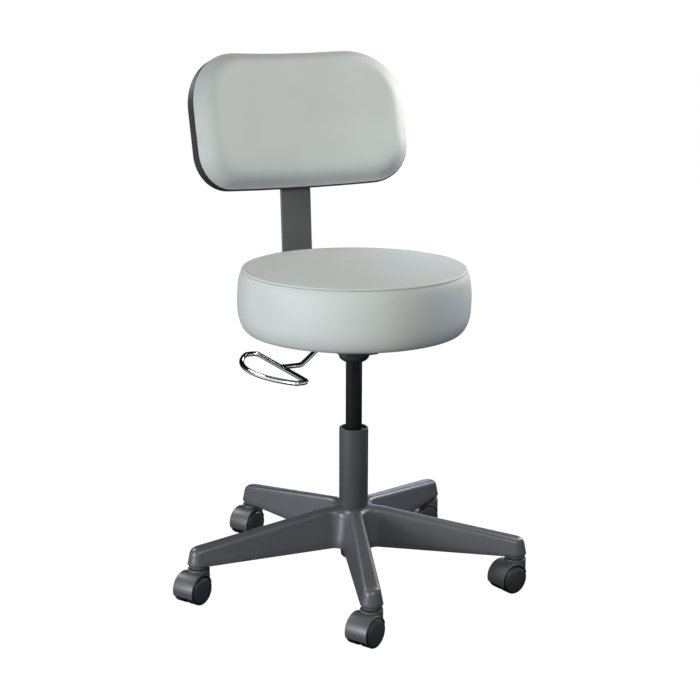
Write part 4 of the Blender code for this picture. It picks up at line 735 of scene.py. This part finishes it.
def make_cylinder():
    """Black gas cylinder, tapered where it sits in the socket, with a rolled lower edge."""
    top, low = CYLINDER_HIGH.z, CYLINDER_LOW.z
    bore = CYLINDER_RADIUS - CYLINDER_WALL
    taper = (top - SOCKET_LOW.z) * CYLINDER_TAPER
    pit, pit_depth = 4.3 * MM, 8 * MM
    rod_hole = 5.3 * MM
    gland = 12 * MM
    profile = [
        (0, top - pit_depth),
        (pit, top - pit_depth),
        (pit, top),
        (CYLINDER_RADIUS - taper, top),
        (CYLINDER_RADIUS, SOCKET_LOW.z),
        (CYLINDER_RADIUS, low),
        (rod_hole, low),
        (rod_hole, low + gland),
        (bore, low + gland),
        (bore, SOCKET_LOW.z - CYLINDER_WALL),
        (0, SOCKET_LOW.z - CYLINDER_WALL),
    ]
    cylinder = soften(lathe("lift_cylinder", profile, 80), 0.8 * MM, 3)
    dress(cylinder, BLACK_COAT, "seat", "gas_cylinder")


def make_socket():
    """Flared steel bowl under the mechanism that grips the cylinder's taper."""
    low, top = SOCKET_LOW.z, SOCKET_HIGH.z
    tube = CYLINDER_RADIUS + FIT
    tube_top = tube - (top - low) * CYLINDER_TAPER
    neck = tube + 3.2 * MM
    bowl = SOCKET_HIGH.x
    bowl_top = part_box("mechanism_housing")[0].z - FIT
    depth = bowl_top - low
    flare = curve_through([
        (bowl, bowl_top - 1.2 * MM),
        (bowl - 0.2 * (bowl - tube), bowl_top - 0.55 * depth),
        (bowl - 0.5 * (bowl - tube), bowl_top - 0.8 * depth),
        (tube + 0.8 * MM, low),
    ], 5)
    profile = [(neck, top), (neck, bowl_top), (bowl, bowl_top), *flare, (tube, low), (tube_top, top),
               (neck, top)]
    socket = soften(lathe("cylinder_socket", profile, 80), 0.5 * MM, 2, 50)
    # Lighter enamel: painted light on a part in the shade under the seat.
    dress(socket, BLACK_COAT_PAINTED_LIGHT, "seat", "taper_socket")


# Five-leg base


LEGS = 5
LEG_PHASE = -110.23
STEM_CIRCLE = 283 * MM
LEG_ROOT_HALF = 22 * MM
LEG_TIP_HALF = 18.7 * MM
LEG_FILLET = 15 * MM
LEG_SLOPE = math.tan(math.radians(10))
LEG_EDGE = 9 * MM
TIP_EDGE = 14 * MM
FOOT_ROUND = 2 * MM
TIP_HEIGHT = 30.5 * MM
HUB_HEIGHT = 67 * MM
LEG_BOTTOM = HUB_TOP - HUB_HEIGHT
LEG_WALL = 3.5 * MM
RIB = 3 * MM
RIB_BAYS = 4
BOSS_RADIUS = 16.3 * MM
STEM_BORE = 5.8 * MM
HUB_WALL = 8.5 * MM
FILLET_STEPS = 10
LEG_STEPS = 12
SECTOR = math.pi / LEGS
LEG_ROOT = (LEG_ROOT_HALF + LEG_FILLET) / math.tan(SECTOR)


def leg_turn(leg):
    return Matrix.Rotation(math.radians(LEG_PHASE) + 2 * SECTOR * leg, 3, "Z")


def leg_share(along):
    return (along - LEG_ROOT) / (STEM_CIRCLE - LEG_ROOT)


def leg_half(along):
    return LEG_ROOT_HALF + (LEG_TIP_HALF - LEG_ROOT_HALF) * min(max(leg_share(along), 0), 1)


def leg_top(along):
    return HUB_TOP - (HUB_HEIGHT - TIP_HEIGHT) * max(0, leg_share(along))


def leg_outline():
    """Foot edge of one leg with half of the fillets beside it, as (point, outward normal) pairs."""
    reach = (LEG_ROOT_HALF + LEG_FILLET) / math.sin(SECTOR)
    centre = Vector((reach * math.cos(SECTOR), -reach * math.sin(SECTOR)))
    half = []
    for step in range(FILLET_STEPS + 1):
        turn = math.pi - SECTOR + (SECTOR - math.pi / 2) * step / FILLET_STEPS
        out = Vector((math.cos(turn), math.sin(turn)))
        half.append((centre + LEG_FILLET * out, -out))
    for step in range(1, LEG_STEPS):
        along = LEG_ROOT + (STEM_CIRCLE - LEG_ROOT) * step / LEG_STEPS
        half.append((Vector((along, -leg_half(along))), Vector((0, -1))))
    for step in range(LEG_STEPS):
        turn = math.pi / 2 * (step / LEG_STEPS - 1)
        out = Vector((math.cos(turn), math.sin(turn)))
        half.append((Vector((STEM_CIRCLE, 0)) + LEG_TIP_HALF * out, out))
    tip = (Vector((STEM_CIRCLE + LEG_TIP_HALF, 0)), Vector((1, 0)))
    return half + [tip] + [(Vector((p.x, -p.y)), Vector((n.x, -n.y))) for p, n in reversed(half[1:])]


def leg_section(point, normal):
    """Points from the middle of the underside, round the foot, up the drafted side and over to the top."""
    edge = LEG_EDGE + (TIP_EDGE - LEG_EDGE) * max(0, normal.x)
    top = leg_top(point.x - normal.x * (LEG_SLOPE * TIP_HEIGHT + edge))
    drawn_in = LEG_SLOPE * (top - edge - LEG_BOTTOM)
    levels = [(FOOT_ROUND * (1 - math.sin(turn)), LEG_BOTTOM + FOOT_ROUND * (1 - math.cos(turn)))
              for turn in (0, math.pi / 6, math.pi / 3, math.pi / 2)]
    foot, shoulder = LEG_BOTTOM + FOOT_ROUND, top - edge
    levels += [(drawn_in * part, foot + (shoulder - foot) * part) for part in (0.25, 0.5, 0.75)]
    levels += [(drawn_in + edge * (1 - math.cos(turn)), shoulder + edge * math.sin(turn))
               for turn in (math.pi / 12 * step for step in range(7))]
    section = []
    for inset, height in levels:
        spot = point - normal * inset
        section.append(Vector((spot.x, spot.y, height)))
    first, last = section[0], section[-1]
    return [Vector((first.x, 0, first.z)), *section, Vector((last.x, 0, last.z))]


def star_form():
    """Five legs and the hub as one closed skin."""
    sections = [leg_section(point, normal) for point, normal in leg_outline()]
    turns = [leg_turn(leg) for leg in range(LEGS)]
    total = LEGS * len(sections)

    def spot(column, row):
        leg, place = divmod(column % total, len(sections))
        return turns[leg] @ sections[place][row]

    return skin("star", total, len(sections[0]) - 1, spot, fill=True)


def rib_pockets():
    """Moulding pockets under the legs that leave walls, a middle rib and cross ribs."""
    start = COLUMN_RADIUS + HUB_WALL
    bay = (STEM_CIRCLE - LEG_TIP_HALF - start + RIB) / RIB_BAYS
    pockets = []
    for leg in range(LEGS):
        turn = leg_turn(leg)
        for number in range(RIB_BAYS):
            near = start + bay * number
            for side in (-1, 1):
                pocket = box("pocket", (near, RIB / 2, LEG_BOTTOM - LEG_WALL), (near + bay - RIB, 1, HUB_TOP))
                for vertex in pocket.data.vertices:
                    along, across, height = vertex.co
                    if height > LEG_BOTTOM:
                        height = leg_top(along) - LEG_WALL
                    if across > RIB:
                        across = leg_half(along) - LEG_WALL - LEG_SLOPE * max(0, height - LEG_BOTTOM)
                    vertex.co = turn @ Vector((along, side * across, height))
                pockets.append(close_up(pocket))
    return joined(pockets)


def make_star():
    star = star_form()
    cut(star, rib_pockets())
    boss_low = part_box("base_star")[0].z
    stem_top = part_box("caster_stem_1")[1].z + FIT
    boss = lathe("boss", [(0, LEG_BOTTOM + LEG_WALL), (BOSS_RADIUS, LEG_BOTTOM + LEG_WALL),
                          *arc((BOSS_RADIUS - MM, boss_low + MM), MM, 0, -90, 4), (0, boss_low)], 64)
    bore = drum("bore", STEM_BORE, boss_low - RIB, stem_top, 36)
    places = [Matrix.Translation(caster_place(number).to_translation()) for number in CASTERS]
    for form, operation in ((boss, "UNION"), (bore, "DIFFERENCE")):
        merge_with(star, joined([copy_of(form, form.name, place) for place in places]), operation)
        bpy.data.objects.remove(form)
    low = COLUMN_LOW.z
    mouth, above = COLUMN_RADIUS + FIT, HUB_TOP + RIB
    radius_low = mouth - (HUB_TOP - low) * COLUMN_TAPER
    taper = lathe("taper", [(0, above), (mouth, above), (mouth, HUB_TOP), (radius_low, low), (0, low)], 96)
    cut(star, taper)
    dress(star, NYLON, "base", "base_star")


# Casters, drawn with the stem axis at X = 0 and the axle behind it along +X


def middle(node):
    low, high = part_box(node)
    return (low + high) / 2


def caster_place(number):
    """Frame of one caster: on the floor under its stem, with X towards its axle."""
    stem, axle = middle(f"caster_stem_{number}"), middle(f"caster_axle_{number}")
    heading = math.atan2(axle.y - stem.y, axle.x - stem.x)
    return Matrix.Translation((stem.x, stem.y, 0)) @ Matrix.Rotation(heading, 4, "Z")


WHEEL_RADIUS = middle("caster_axle_1").z
CASTER_TRAIL = (middle("caster_axle_1") - middle("caster_stem_1")).to_2d().length
HOOD_INSIDE = WHEEL_RADIUS + MM
HOOD_RADIUS = HOOD_INSIDE + 1.4 * MM
HOOD_WIDTH = 41.5 * MM
HOOD_ROUND = 1.5 * MM
HOOD_WEB = 7 * MM
HOOD_HEEL = 9 * MM
COLLAR_RADIUS = 18.4 * MM
COLLAR_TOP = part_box("caster_hood_1")[1].z
COLLAR_SKIRT = 19.5 * MM
COLLAR_ROUND = 0.8 * MM
RECESS_DEPTH = 1.5 * MM     # of the bearing's seat in the collar
RECESS_WALL = 1.8 * MM
STEM_DEPTH = 6.3 * MM       # the stem's bore below that seat
EYE_RADIUS = 11 * MM        # of the web's eye round the axle
BEYOND = 0.1                # well past a caster on every side
AXLE_RADIUS = 3 * MM
AXLE_LINE = Matrix.Translation((CASTER_TRAIL, 0, WHEEL_RADIUS)) @ Matrix.Rotation(math.pi / 2, 4, "X")


def hood_form():
    """Barrel cover with a swivel collar, open below, and a middle wall that holds the axle."""
    half = HOOD_WIDTH / 2
    edge = HOOD_RADIUS - HOOD_ROUND
    hood = lathe("hood", [(0, half), *arc((edge, half - HOOD_ROUND), HOOD_ROUND, 90, 0, 6),
                          *arc((edge, HOOD_ROUND - half), HOOD_ROUND, 0, -90, 6), (0, -half)], 96)
    moved(hood, AXLE_LINE)
    collar = lathe("collar", [(0, WHEEL_RADIUS), (COLLAR_RADIUS, WHEEL_RADIUS),
                              *arc((COLLAR_RADIUS - COLLAR_ROUND, COLLAR_TOP - COLLAR_ROUND), COLLAR_ROUND,
                                   0, 90, 4),
                              (0, COLLAR_TOP)], 80)
    merge_with(hood, collar)
    heel = Vector((CASTER_TRAIL + HOOD_RADIUS, 0, WHEEL_RADIUS - HOOD_HEEL))
    toe = Vector((-COLLAR_RADIUS, 0, COLLAR_TOP - COLLAR_SKIRT))
    slope = math.atan2(toe.z - heel.z, heel.x - toe.x)
    for side in (0, math.pi):
        well = drum("well", HOOD_INSIDE, HOOD_WEB / 2, HOOD_WIDTH, 96)
        cut(hood, moved(well, AXLE_LINE @ Matrix.Rotation(side, 4, "X")))
    below = box("below", (-BEYOND, -BEYOND, -BEYOND), (BEYOND, BEYOND, 0))
    moved(below, Matrix.Translation(heel) @ Matrix.Rotation(slope, 4, "Y"))
    eye = drum("eye", EYE_RADIUS, -2 * BEYOND, 2 * BEYOND)
    cut(hood, cut(below, moved(eye, AXLE_LINE)))
    axle_bore = drum("axle_bore", AXLE_RADIUS + FIT, -HOOD_WIDTH, HOOD_WIDTH, 32)
    cut(hood, moved(axle_bore, AXLE_LINE))
    recess = COLLAR_TOP - RECESS_DEPTH
    cut(hood, drum("recess", COLLAR_RADIUS - RECESS_WALL, recess, COLLAR_TOP + MM))
    cut(hood, drum("stem_bore", STEM_BORE, recess - STEM_DEPTH, COLLAR_TOP, 32))
    return hood


WHEEL_RIM = HOOD_WIDTH / 2 + MM
WHEEL_SIDE = WHEEL_RIM - 1.2 * MM


def wheel_form():
    """Wheel about Z: rounded tread, a shallow side for the cover above, hub and hollow side below."""
    inner = HOOD_WEB / 2 + 0.6 * MM
    roll = 2.2 * MM
    hub = 2 * AXLE_RADIUS + FIT
    bore = AXLE_RADIUS + FIT
    profile = [
        (0, WHEEL_SIDE),
        (0.91 * WHEEL_RADIUS, WHEEL_SIDE),
        *arc((WHEEL_RADIUS - roll, WHEEL_RIM - roll), roll, 62, 0, 7),
        (WHEEL_RADIUS, inner + MM),
        (WHEEL_RADIUS - MM, inner),
        (0.84 * WHEEL_RADIUS, inner),
        (0.78 * WHEEL_RADIUS, inner + 6 * MM),
        (hub, inner + 6 * MM),
        (hub, inner),
        (bore, inner),
        (bore, WHEEL_SIDE - MM),
        (0, WHEEL_SIDE - MM),
    ]
    return lathe("wheel", profile, 72)


def disc_form():
    """Domed cover pressed on the wheel's side, with a rolled edge."""
    dome = 3.5 * MM
    edge = 0.89 * WHEEL_RADIUS
    profile = curve_through([
        (0, WHEEL_RIM + dome),
        (0.3 * WHEEL_RADIUS, WHEEL_RIM + 0.93 * dome),
        (0.6 * WHEEL_RADIUS, WHEEL_RIM + 0.68 * dome),
        (0.8 * WHEEL_RADIUS, WHEEL_RIM + 0.34 * dome),
        (edge - 0.4 * MM, WHEEL_RIM),
        (edge, WHEEL_RIM - 0.6 * MM),
    ], 5)
    return lathe("disc", [*profile, (edge, WHEEL_SIDE + 0.05 * MM), (0, WHEEL_SIDE + 0.05 * MM)], 72)


def make_casters():
    hood, wheel, disc = hood_form(), wheel_form(), disc_form()
    for number in CASTERS:
        place = caster_place(number)
        cover = copy_of(hood, f"caster_cover_{number}", place)
        dress(cover, HOOD_PLASTIC, f"caster_{number}", f"caster_hood_{number}", sharp=28)
        for side, turn in (("right", 0), ("left", math.pi)):
            hung = place @ AXLE_LINE @ Matrix.Rotation(turn, 4, "X")
            twin = copy_of(wheel, f"wheel_{side}_tread_{number}", hung)
            dress(twin, TREAD_PLASTIC, f"wheel_{side}_{number}", f"caster_wheel_{side}_{number}")
            face = copy_of(disc, f"wheel_{side}_disc_{number}", hung)
            dress(face, WHEEL_PLASTIC, f"wheel_{side}_{number}")
    for form in (hood, wheel, disc):
        bpy.data.objects.remove(form)


# Release lever


WIRE_RADIUS = 4.25 * MM
LOOP_BAR = 134 * MM
LOOP_ROUND = 168 * MM
LOOP_CORNER = 10 * MM
STEM_FOOT = 98 * MM
STEM_SLOPE = 39.0
STEM_BEND = 16 * MM
WELD_SIZE = 1.22            # of the weld bead, against the wire,
WELD_FLAT = 0.7             # and how far it is flattened
SLEEVE_HALF = 9 * MM
SLEEVE_WALL = 2 * MM


def wire(name, points, closed):
    """Round wire along a run of points, as a mesh."""
    deselect()
    bpy.ops.curve.primitive_bezier_curve_add()
    line = named(name).data
    line.splines.clear()
    spline = line.splines.new("POLY")
    spline.points.add(len(points) - 1)
    for knot, point in zip(spline.points, points):
        knot.co = (*point, 1)
    spline.use_cyclic_u = closed
    line.dimensions = "3D"
    line.bevel_depth = WIRE_RADIUS
    line.bevel_resolution = 6
    line.use_fill_caps = True
    bpy.ops.object.convert(target="MESH")
    return close_up(bpy.context.object)


def make_lever():
    """Chromed loop welded to a cranked stem, with the sleeve that turns on the pin."""
    low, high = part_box("release_lever")
    height, inside = low.z + WIRE_RADIUS, high.z - WIRE_RADIUS
    apex = low.x + WIRE_RADIUS
    half = high.y - WIRE_RADIUS
    centre = apex + LOOP_ROUND
    spread = math.degrees(math.asin(half / LOOP_ROUND))
    bow = [((x, y, height), 0) for x, y in arc((centre, 0), LOOP_ROUND, 180 - spread, 180 + spread, 40)]
    shoulder = bow[0][0][0]
    loop = wire("lever_loop", rounded([
        ((-LOOP_BAR, -half, height), LOOP_CORNER),
        ((-LOOP_BAR, half, height), LOOP_CORNER),
        ((shoulder, half, height), LOOP_CORNER / 2),
        *bow[2:-2],
        ((shoulder, -half, height), LOOP_CORNER / 2),
    ], 10), True)
    rise = (inside - height) / math.tan(math.radians(STEM_SLOPE))
    stem = wire("stem", rounded([
        ((-LOOP_BAR, 0, height), 0),
        ((-STEM_FOOT, 0, height), STEM_BEND),
        ((rise - STEM_FOOT, 0, inside), STEM_BEND),
        ((high.x, 0, inside), 0),
    ], 10), False)
    merge_with(loop, stem)
    weld = lathe("weld", arc((0, 0), WELD_SIZE * WIRE_RADIUS, 90, -90, 12), 32)
    spot = Matrix.Translation((WIRE_RADIUS - LOOP_BAR, 0, height)) @ Matrix.Diagonal((WELD_FLAT, 1, 1, 1))
    merge_with(loop, moved(weld, spot))
    pin = middle("lever_pin")
    across = Matrix.Translation(pin) @ Matrix.Rotation(math.pi / 2, 4, "X")
    bore = 2.8 * MM
    merge_with(loop, moved(drum("sleeve", bore + SLEEVE_WALL, -SLEEVE_HALF, SLEEVE_HALF, 48), across))
    cut(loop, moved(drum("sleeve_bore", bore, -0.02, 0.02, 32), across))
    dress(loop, CHROME, "lever", "release_lever", sharp=50)


# Back bar, brackets, bolts and knobs


BAR_LEAN = math.tan(math.radians(3.5))
BAR_FOOT_BEND = 40 * MM
BAR_KNEE_BEND = 60 * MM
SEAT_BOLTS = range(1, 5)


def make_bar():
    """Flat steel bar with rolled edges, bent up behind the seat and back into the backrest."""
    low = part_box("back_bar")[0]
    level = low.z + BAR_THICKNESS / 2
    knee = BACK_FRAME @ Vector((0, BAR_DEPTH, -BACK_HEIGHT / 2))
    end = BACK_FRAME @ Vector((0, BAR_DEPTH, -BACK_HEIGHT / 2 + BAR_ENGAGE))
    foot = knee.y - (knee.z - level) * BAR_LEAN
    line = rounded([((low.y, level), 0), ((foot, level), BAR_FOOT_BEND),
                    ((knee.y, knee.z), BAR_KNEE_BEND), ((end.y, end.z), 0)], 14)
    edge = 1.6 * MM
    x, y = BAR_WIDTH / 2 - edge, BAR_THICKNESS / 2 - edge
    section = []
    for start, centre in ((0, (x, y)), (90, (-x, y)), (180, (-x, -y)), (270, (x, -y))):
        section += arc(centre, edge, start, start + 90, 4)
    section.append(section[0])

    def spot(column, row):
        ahead = line[min(row + 1, len(line) - 1)] - line[max(row - 1, 0)]
        ahead.normalize()
        across, out = section[column]
        return Vector((across, line[row].x - ahead.y * out, line[row].y + ahead.x * out))

    bar = skin("bent_bar", len(section) - 1, len(line) - 1, spot, fill=True)
    dress(bar, BAR_COAT, "bar", "back_bar", sharp=40)


def finished_copy(node, name, finish, body, width):
    """A CAD node's own shape, merged, with its edges broken."""
    source = NODES[node]
    piece = source.copy()
    piece.data = source.data.copy()
    piece.name = name
    piece.parent = None
    for key in list(piece.keys()):
        del piece[key]
    bpy.context.scene.collection.objects.link(piece)
    close_up(piece)
    bpy.ops.object.mode_set(mode="EDIT")
    bpy.ops.mesh.select_all(action="SELECT")
    bpy.ops.mesh.dissolve_limited(angle_limit=math.radians(1))
    bpy.ops.object.mode_set(mode="OBJECT")
    soften(piece, width, 2)
    return dress(piece, finish, body, node)


def make_pressings():
    for node, name in (("mechanism_housing", "pressed_housing"), ("seat_plate", "mounting_plate"),
                       ("bar_bracket", "bar_channel")):
        # Lighter enamel: painted light on parts in the shade under the seat.
        finished_copy(node, name, BLACK_COAT_PAINTED_LIGHT, "seat", 0.6 * MM)


def make_seat_bolts():
    """Button-head bolts with a hexagon socket."""
    low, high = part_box("seat_bolt_1")
    head, shank, rise = (high.x - low.x) / 2, 3 * MM, 3.5 * MM
    button = curve_through([(head, low.z + 0.75 * rise), (0.85 * head, low.z + 0.3 * rise),
                            (0.55 * head, low.z)], 4)
    profile = [(0, high.z), (shank - 0.5 * MM, high.z), (shank, high.z - 0.5 * MM), (shank, low.z + rise),
               (head, low.z + rise), (head, low.z + 0.75 * rise), *button[1:], (0, low.z)]
    bolt = lathe("bolt", profile, 40)
    cut(bolt, drum("hexagon", 2.3 * MM, low.z - MM, low.z + 2 * MM, 6))
    for number in SEAT_BOLTS:
        spot = middle(f"seat_bolt_{number}")
        piece = copy_of(bolt, f"plate_bolt_{number}", Matrix.Translation((spot.x, spot.y, 0)))
        dress(piece, ZINC, "seat", f"seat_bolt_{number}")
    bpy.data.objects.remove(bolt)


KNOB_RADIUS = 18 * MM
KNOB_HEIGHT = 14 * MM
KNOB_LOBES = 6
KNOB_LOBE_DEPTH = 1.6 * MM


def knob_form(reach):
    """Lobed grip below its stud, which ends at Z = 0; the lobes fade out towards the face."""
    top, low = -reach, -reach - KNOB_HEIGHT
    roll = 2 * MM
    grip = KNOB_RADIUS - roll
    rows = [(0, 0, 0), (STUD - 0.5 * MM, 0, 0), (STUD, -0.5 * MM, 0), (STUD, top, 0)]
    rows += [(r, z, 1) for r, z in arc((grip, top - roll), roll, 90, 0, 6)]
    rows += [(r, z, 1) for r, z in arc((grip, low + roll), roll, 0, -90, 6)]
    rows += [(0.8 * grip, low + 0.2 * MM, 0.4), (0.6 * grip, low + 0.8 * MM, 0), (0, low + MM, 0)]
    around = 120

    def spot(column, row):
        turn = 2 * math.pi * (column % around) / around
        radius, height, lobed = rows[row]
        radius -= lobed * KNOB_LOBE_DEPTH * (1 - math.cos(KNOB_LOBES * turn)) / 2
        return Vector((radius * math.cos(turn), radius * math.sin(turn), height))

    return skin("knob", around, len(rows) - 1, spot)


def make_knobs():
    low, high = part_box("depth_knob")
    place = Matrix.Translation((0, (low.y + high.y) / 2, high.z))
    knob = moved(knob_form(high.z - low.z - KNOB_HEIGHT), place)
    knob.name = "depth_grip"
    dress(knob, BLACK_PLASTIC, "depth_knob", "depth_knob", sharp=40)

    loose = 1.2 * MM
    neck = 4 * MM
    end = BAR_DEPTH + BAR_THICKNESS / 2 + loose
    forwards = Matrix.Rotation(math.pi / 2, 4, "X")
    place = BACK_FRAME @ Matrix.Translation((0, end, KNOB_RISE - BACK_HEIGHT / 2)) @ forwards
    knob = moved(knob_form(SPINE_DEPTH + neck - end), place)
    knob.name = "height_grip"
    dress(knob, BLACK_PLASTIC, "height_knob", "height_knob", sharp=40)


# Stage


CAMERA_PLACE = (-1.1275, -2.2959, 1.0298)
CAMERA_DIP = 0.2398         # radians below the horizon
CAMERA_TURN = -26.0
CAMERA_ROLL = 0.2
CAMERA_LENS = 79.95


def make_camera():
    camera = bpy.data.objects.new("camera", bpy.data.cameras.new("camera"))
    bpy.context.scene.collection.objects.link(camera)
    camera.location = CAMERA_PLACE
    turn, roll = (Matrix.Rotation(math.radians(angle), 3, "Z") for angle in (CAMERA_TURN, CAMERA_ROLL))
    dip = Matrix.Rotation(math.pi / 2 - CAMERA_DIP, 3, "X")
    camera.rotation_euler = (turn @ dip @ roll).to_euler()
    camera.data.lens = CAMERA_LENS
    camera.data.clip_start = 0.05
    bpy.context.scene.camera = camera


def seen(tree):
    """1 for rays that show the background itself: from the camera, by reflection or through glass."""
    path = add(tree, "LightPath")
    either = add(tree, "Math", {0: path.outputs["Is Camera Ray"], 1: path.outputs["Is Glossy Ray"]},
                 operation="MAXIMUM")
    return add(tree, "Math", {0: either.outputs[0], 1: path.outputs["Is Transmission Ray"]},
               operation="MAXIMUM").outputs[0]


def make_floor():
    """Paper that shows as pure white by its own glow, and gives little light back to the stool."""
    deselect()
    bpy.ops.mesh.primitive_plane_add(size=60)
    floor = named("floor")
    made = bpy.data.materials.new("white_paper")
    made.use_nodes = True
    tree = made.node_tree
    tree.nodes.clear()
    paper = add(tree, "BsdfDiffuse", {"Color": colour("4d4d4d")})
    glow = add(tree, "Emission", {"Color": colour("ffffff"), "Strength": 1.0})
    hidden = add(tree, "Emission", {"Strength": 0.0})
    shown = add(tree, "MixShader", {0: seen(tree), 1: hidden.outputs[0], 2: glow.outputs[0]})
    both = add(tree, "AddShader", {0: paper.outputs[0], 1: shown.outputs[0]})
    add(tree, "OutputMaterial", {"Surface": both.outputs[0]})
    floor.data.materials.append(made)


def make_world():
    """A white studio: pure white where it is seen, and a plain grey sky as light."""
    world = bpy.data.worlds.new("studio")
    bpy.context.scene.world = world
    world.use_nodes = True
    tree = world.node_tree
    tree.nodes.clear()
    white = add(tree, "Background", {"Color": colour("ffffff"), "Strength": 1.0})
    sky = add(tree, "Background", {"Color": colour("e8eff6"), "Strength": 0.18})
    both = add(tree, "MixShader", {0: seen(tree), 1: sky.outputs[0], 2: white.outputs[0]})
    add(tree, "OutputWorld", {"Surface": both.outputs[0]})


def make_lamp(name, place, aim, size, power, tone, spread=180, glint=False):
    """Softbox; one that is a glint only shows in shiny surfaces."""
    lamp = bpy.data.objects.new(name, bpy.data.lights.new(name, "AREA"))
    bpy.context.scene.collection.objects.link(lamp)
    lamp.data.shape = "RECTANGLE"
    lamp.data.size, lamp.data.size_y = size
    lamp.data.energy = power
    lamp.data.color = colour(tone)[:3]
    lamp.location = place
    lamp.data.spread = math.radians(spread)
    lamp.visible_camera = False
    lamp.visible_diffuse = not glint
    lamp.rotation_euler = (Vector(aim) - Vector(place)).to_track_quat("-Z", "Y").to_euler()


def make_lights():
    make_lamp("key_softbox", (-2.6, -0.5, 0.68), (0, 0, 0.3), (1.0, 0.9), 5.8, "f8fcff", spread=50)
    make_lamp("front_softbox", (-0.5, -1.85, 1.4), (0, 0, 0.5), (0.8, 0.6), 19, "fffef6")
    make_lamp("top_softbox", (0.73, 0, 1.15), (0, 0, 0.6), (0.5, 0.5), 7, "fffdf6")
    make_lamp("cool_fill", (2.0, -0.4, 0.08), (0, 0, 0.46), (0.3, 0.3), 0.25, "98c2ff", spread=30)
    make_lamp("cool_rim", (1.45, 2.25, 0.75), (0, 0, 0.12), (0.4, 0.3), 4, "c2d8ff")
    make_lamp("rear_edge", (-0.7, 1.7, 1.5), (0, 0, 0.1), (0.5, 0.5), 5, "ffffff")
    make_lamp("left_glint", (-0.95, 1.36, 1.43), (0, 0, 0.1), (0.5, 0.5), 12, "ffffff", glint=True)
    make_lamp("right_glint", (1.83, 0.6, 1.06), (0, 0, 0.1), (0.5, 0.5), 15, "fff6f2", glint=True)
    make_lamp("low_glint", (1.2, 2.4, 0.2), (0, 0, 0.12), (1.2, 0.15), 2, "c2d8ff", glint=True)


VELVET = blank("black_velvet", Base_Color=colour("141415"), Roughness=1.0)[0]


def make_flag(name, xs, ys, zs):
    """Black cloth beside the set, which only reflections see: it gives bright metal its dark bands."""
    deselect()
    bpy.ops.mesh.primitive_plane_add(size=1)
    flag = named(name)
    corners = [(x, y, z) for z in zs for y in ys for x in xs]
    for vertex, corner in zip(flag.data.vertices, corners):
        vertex.co = corner
    flag.data.materials.append(VELVET)
    flag.visible_camera = False
    flag.visible_diffuse = False
    flag.visible_shadow = False


def make_flags():
    make_flag("flag_above", (-3, 3), (-3, 3), (2.8,))
    make_flag("flag_right", (2.4,), (-2.6, 0.6), (0.15, 2.4))
    make_flag("flag_behind", (-3, 3), (2.9,), (0.01, 2.8))
    make_flag("flag_below", (-0.7, 3), (-0.7, 2.9), (0.001,))
    make_flag("flag_front", (-2.0, 2.2), (-3.2,), (0.1, 2.7))


finish_cad_nodes()
make_camera()
make_seat()
make_back_pad()
make_back_shell()
make_back_screws()
make_column()
make_cylinder()
make_socket()
make_star()
make_casters()
make_lever()
make_bar()
make_pressings()
make_seat_bolts()
make_knobs()
make_floor()
make_world()
make_lights()
make_flags()
bpy.context.scene.view_settings.view_transform = "Standard"
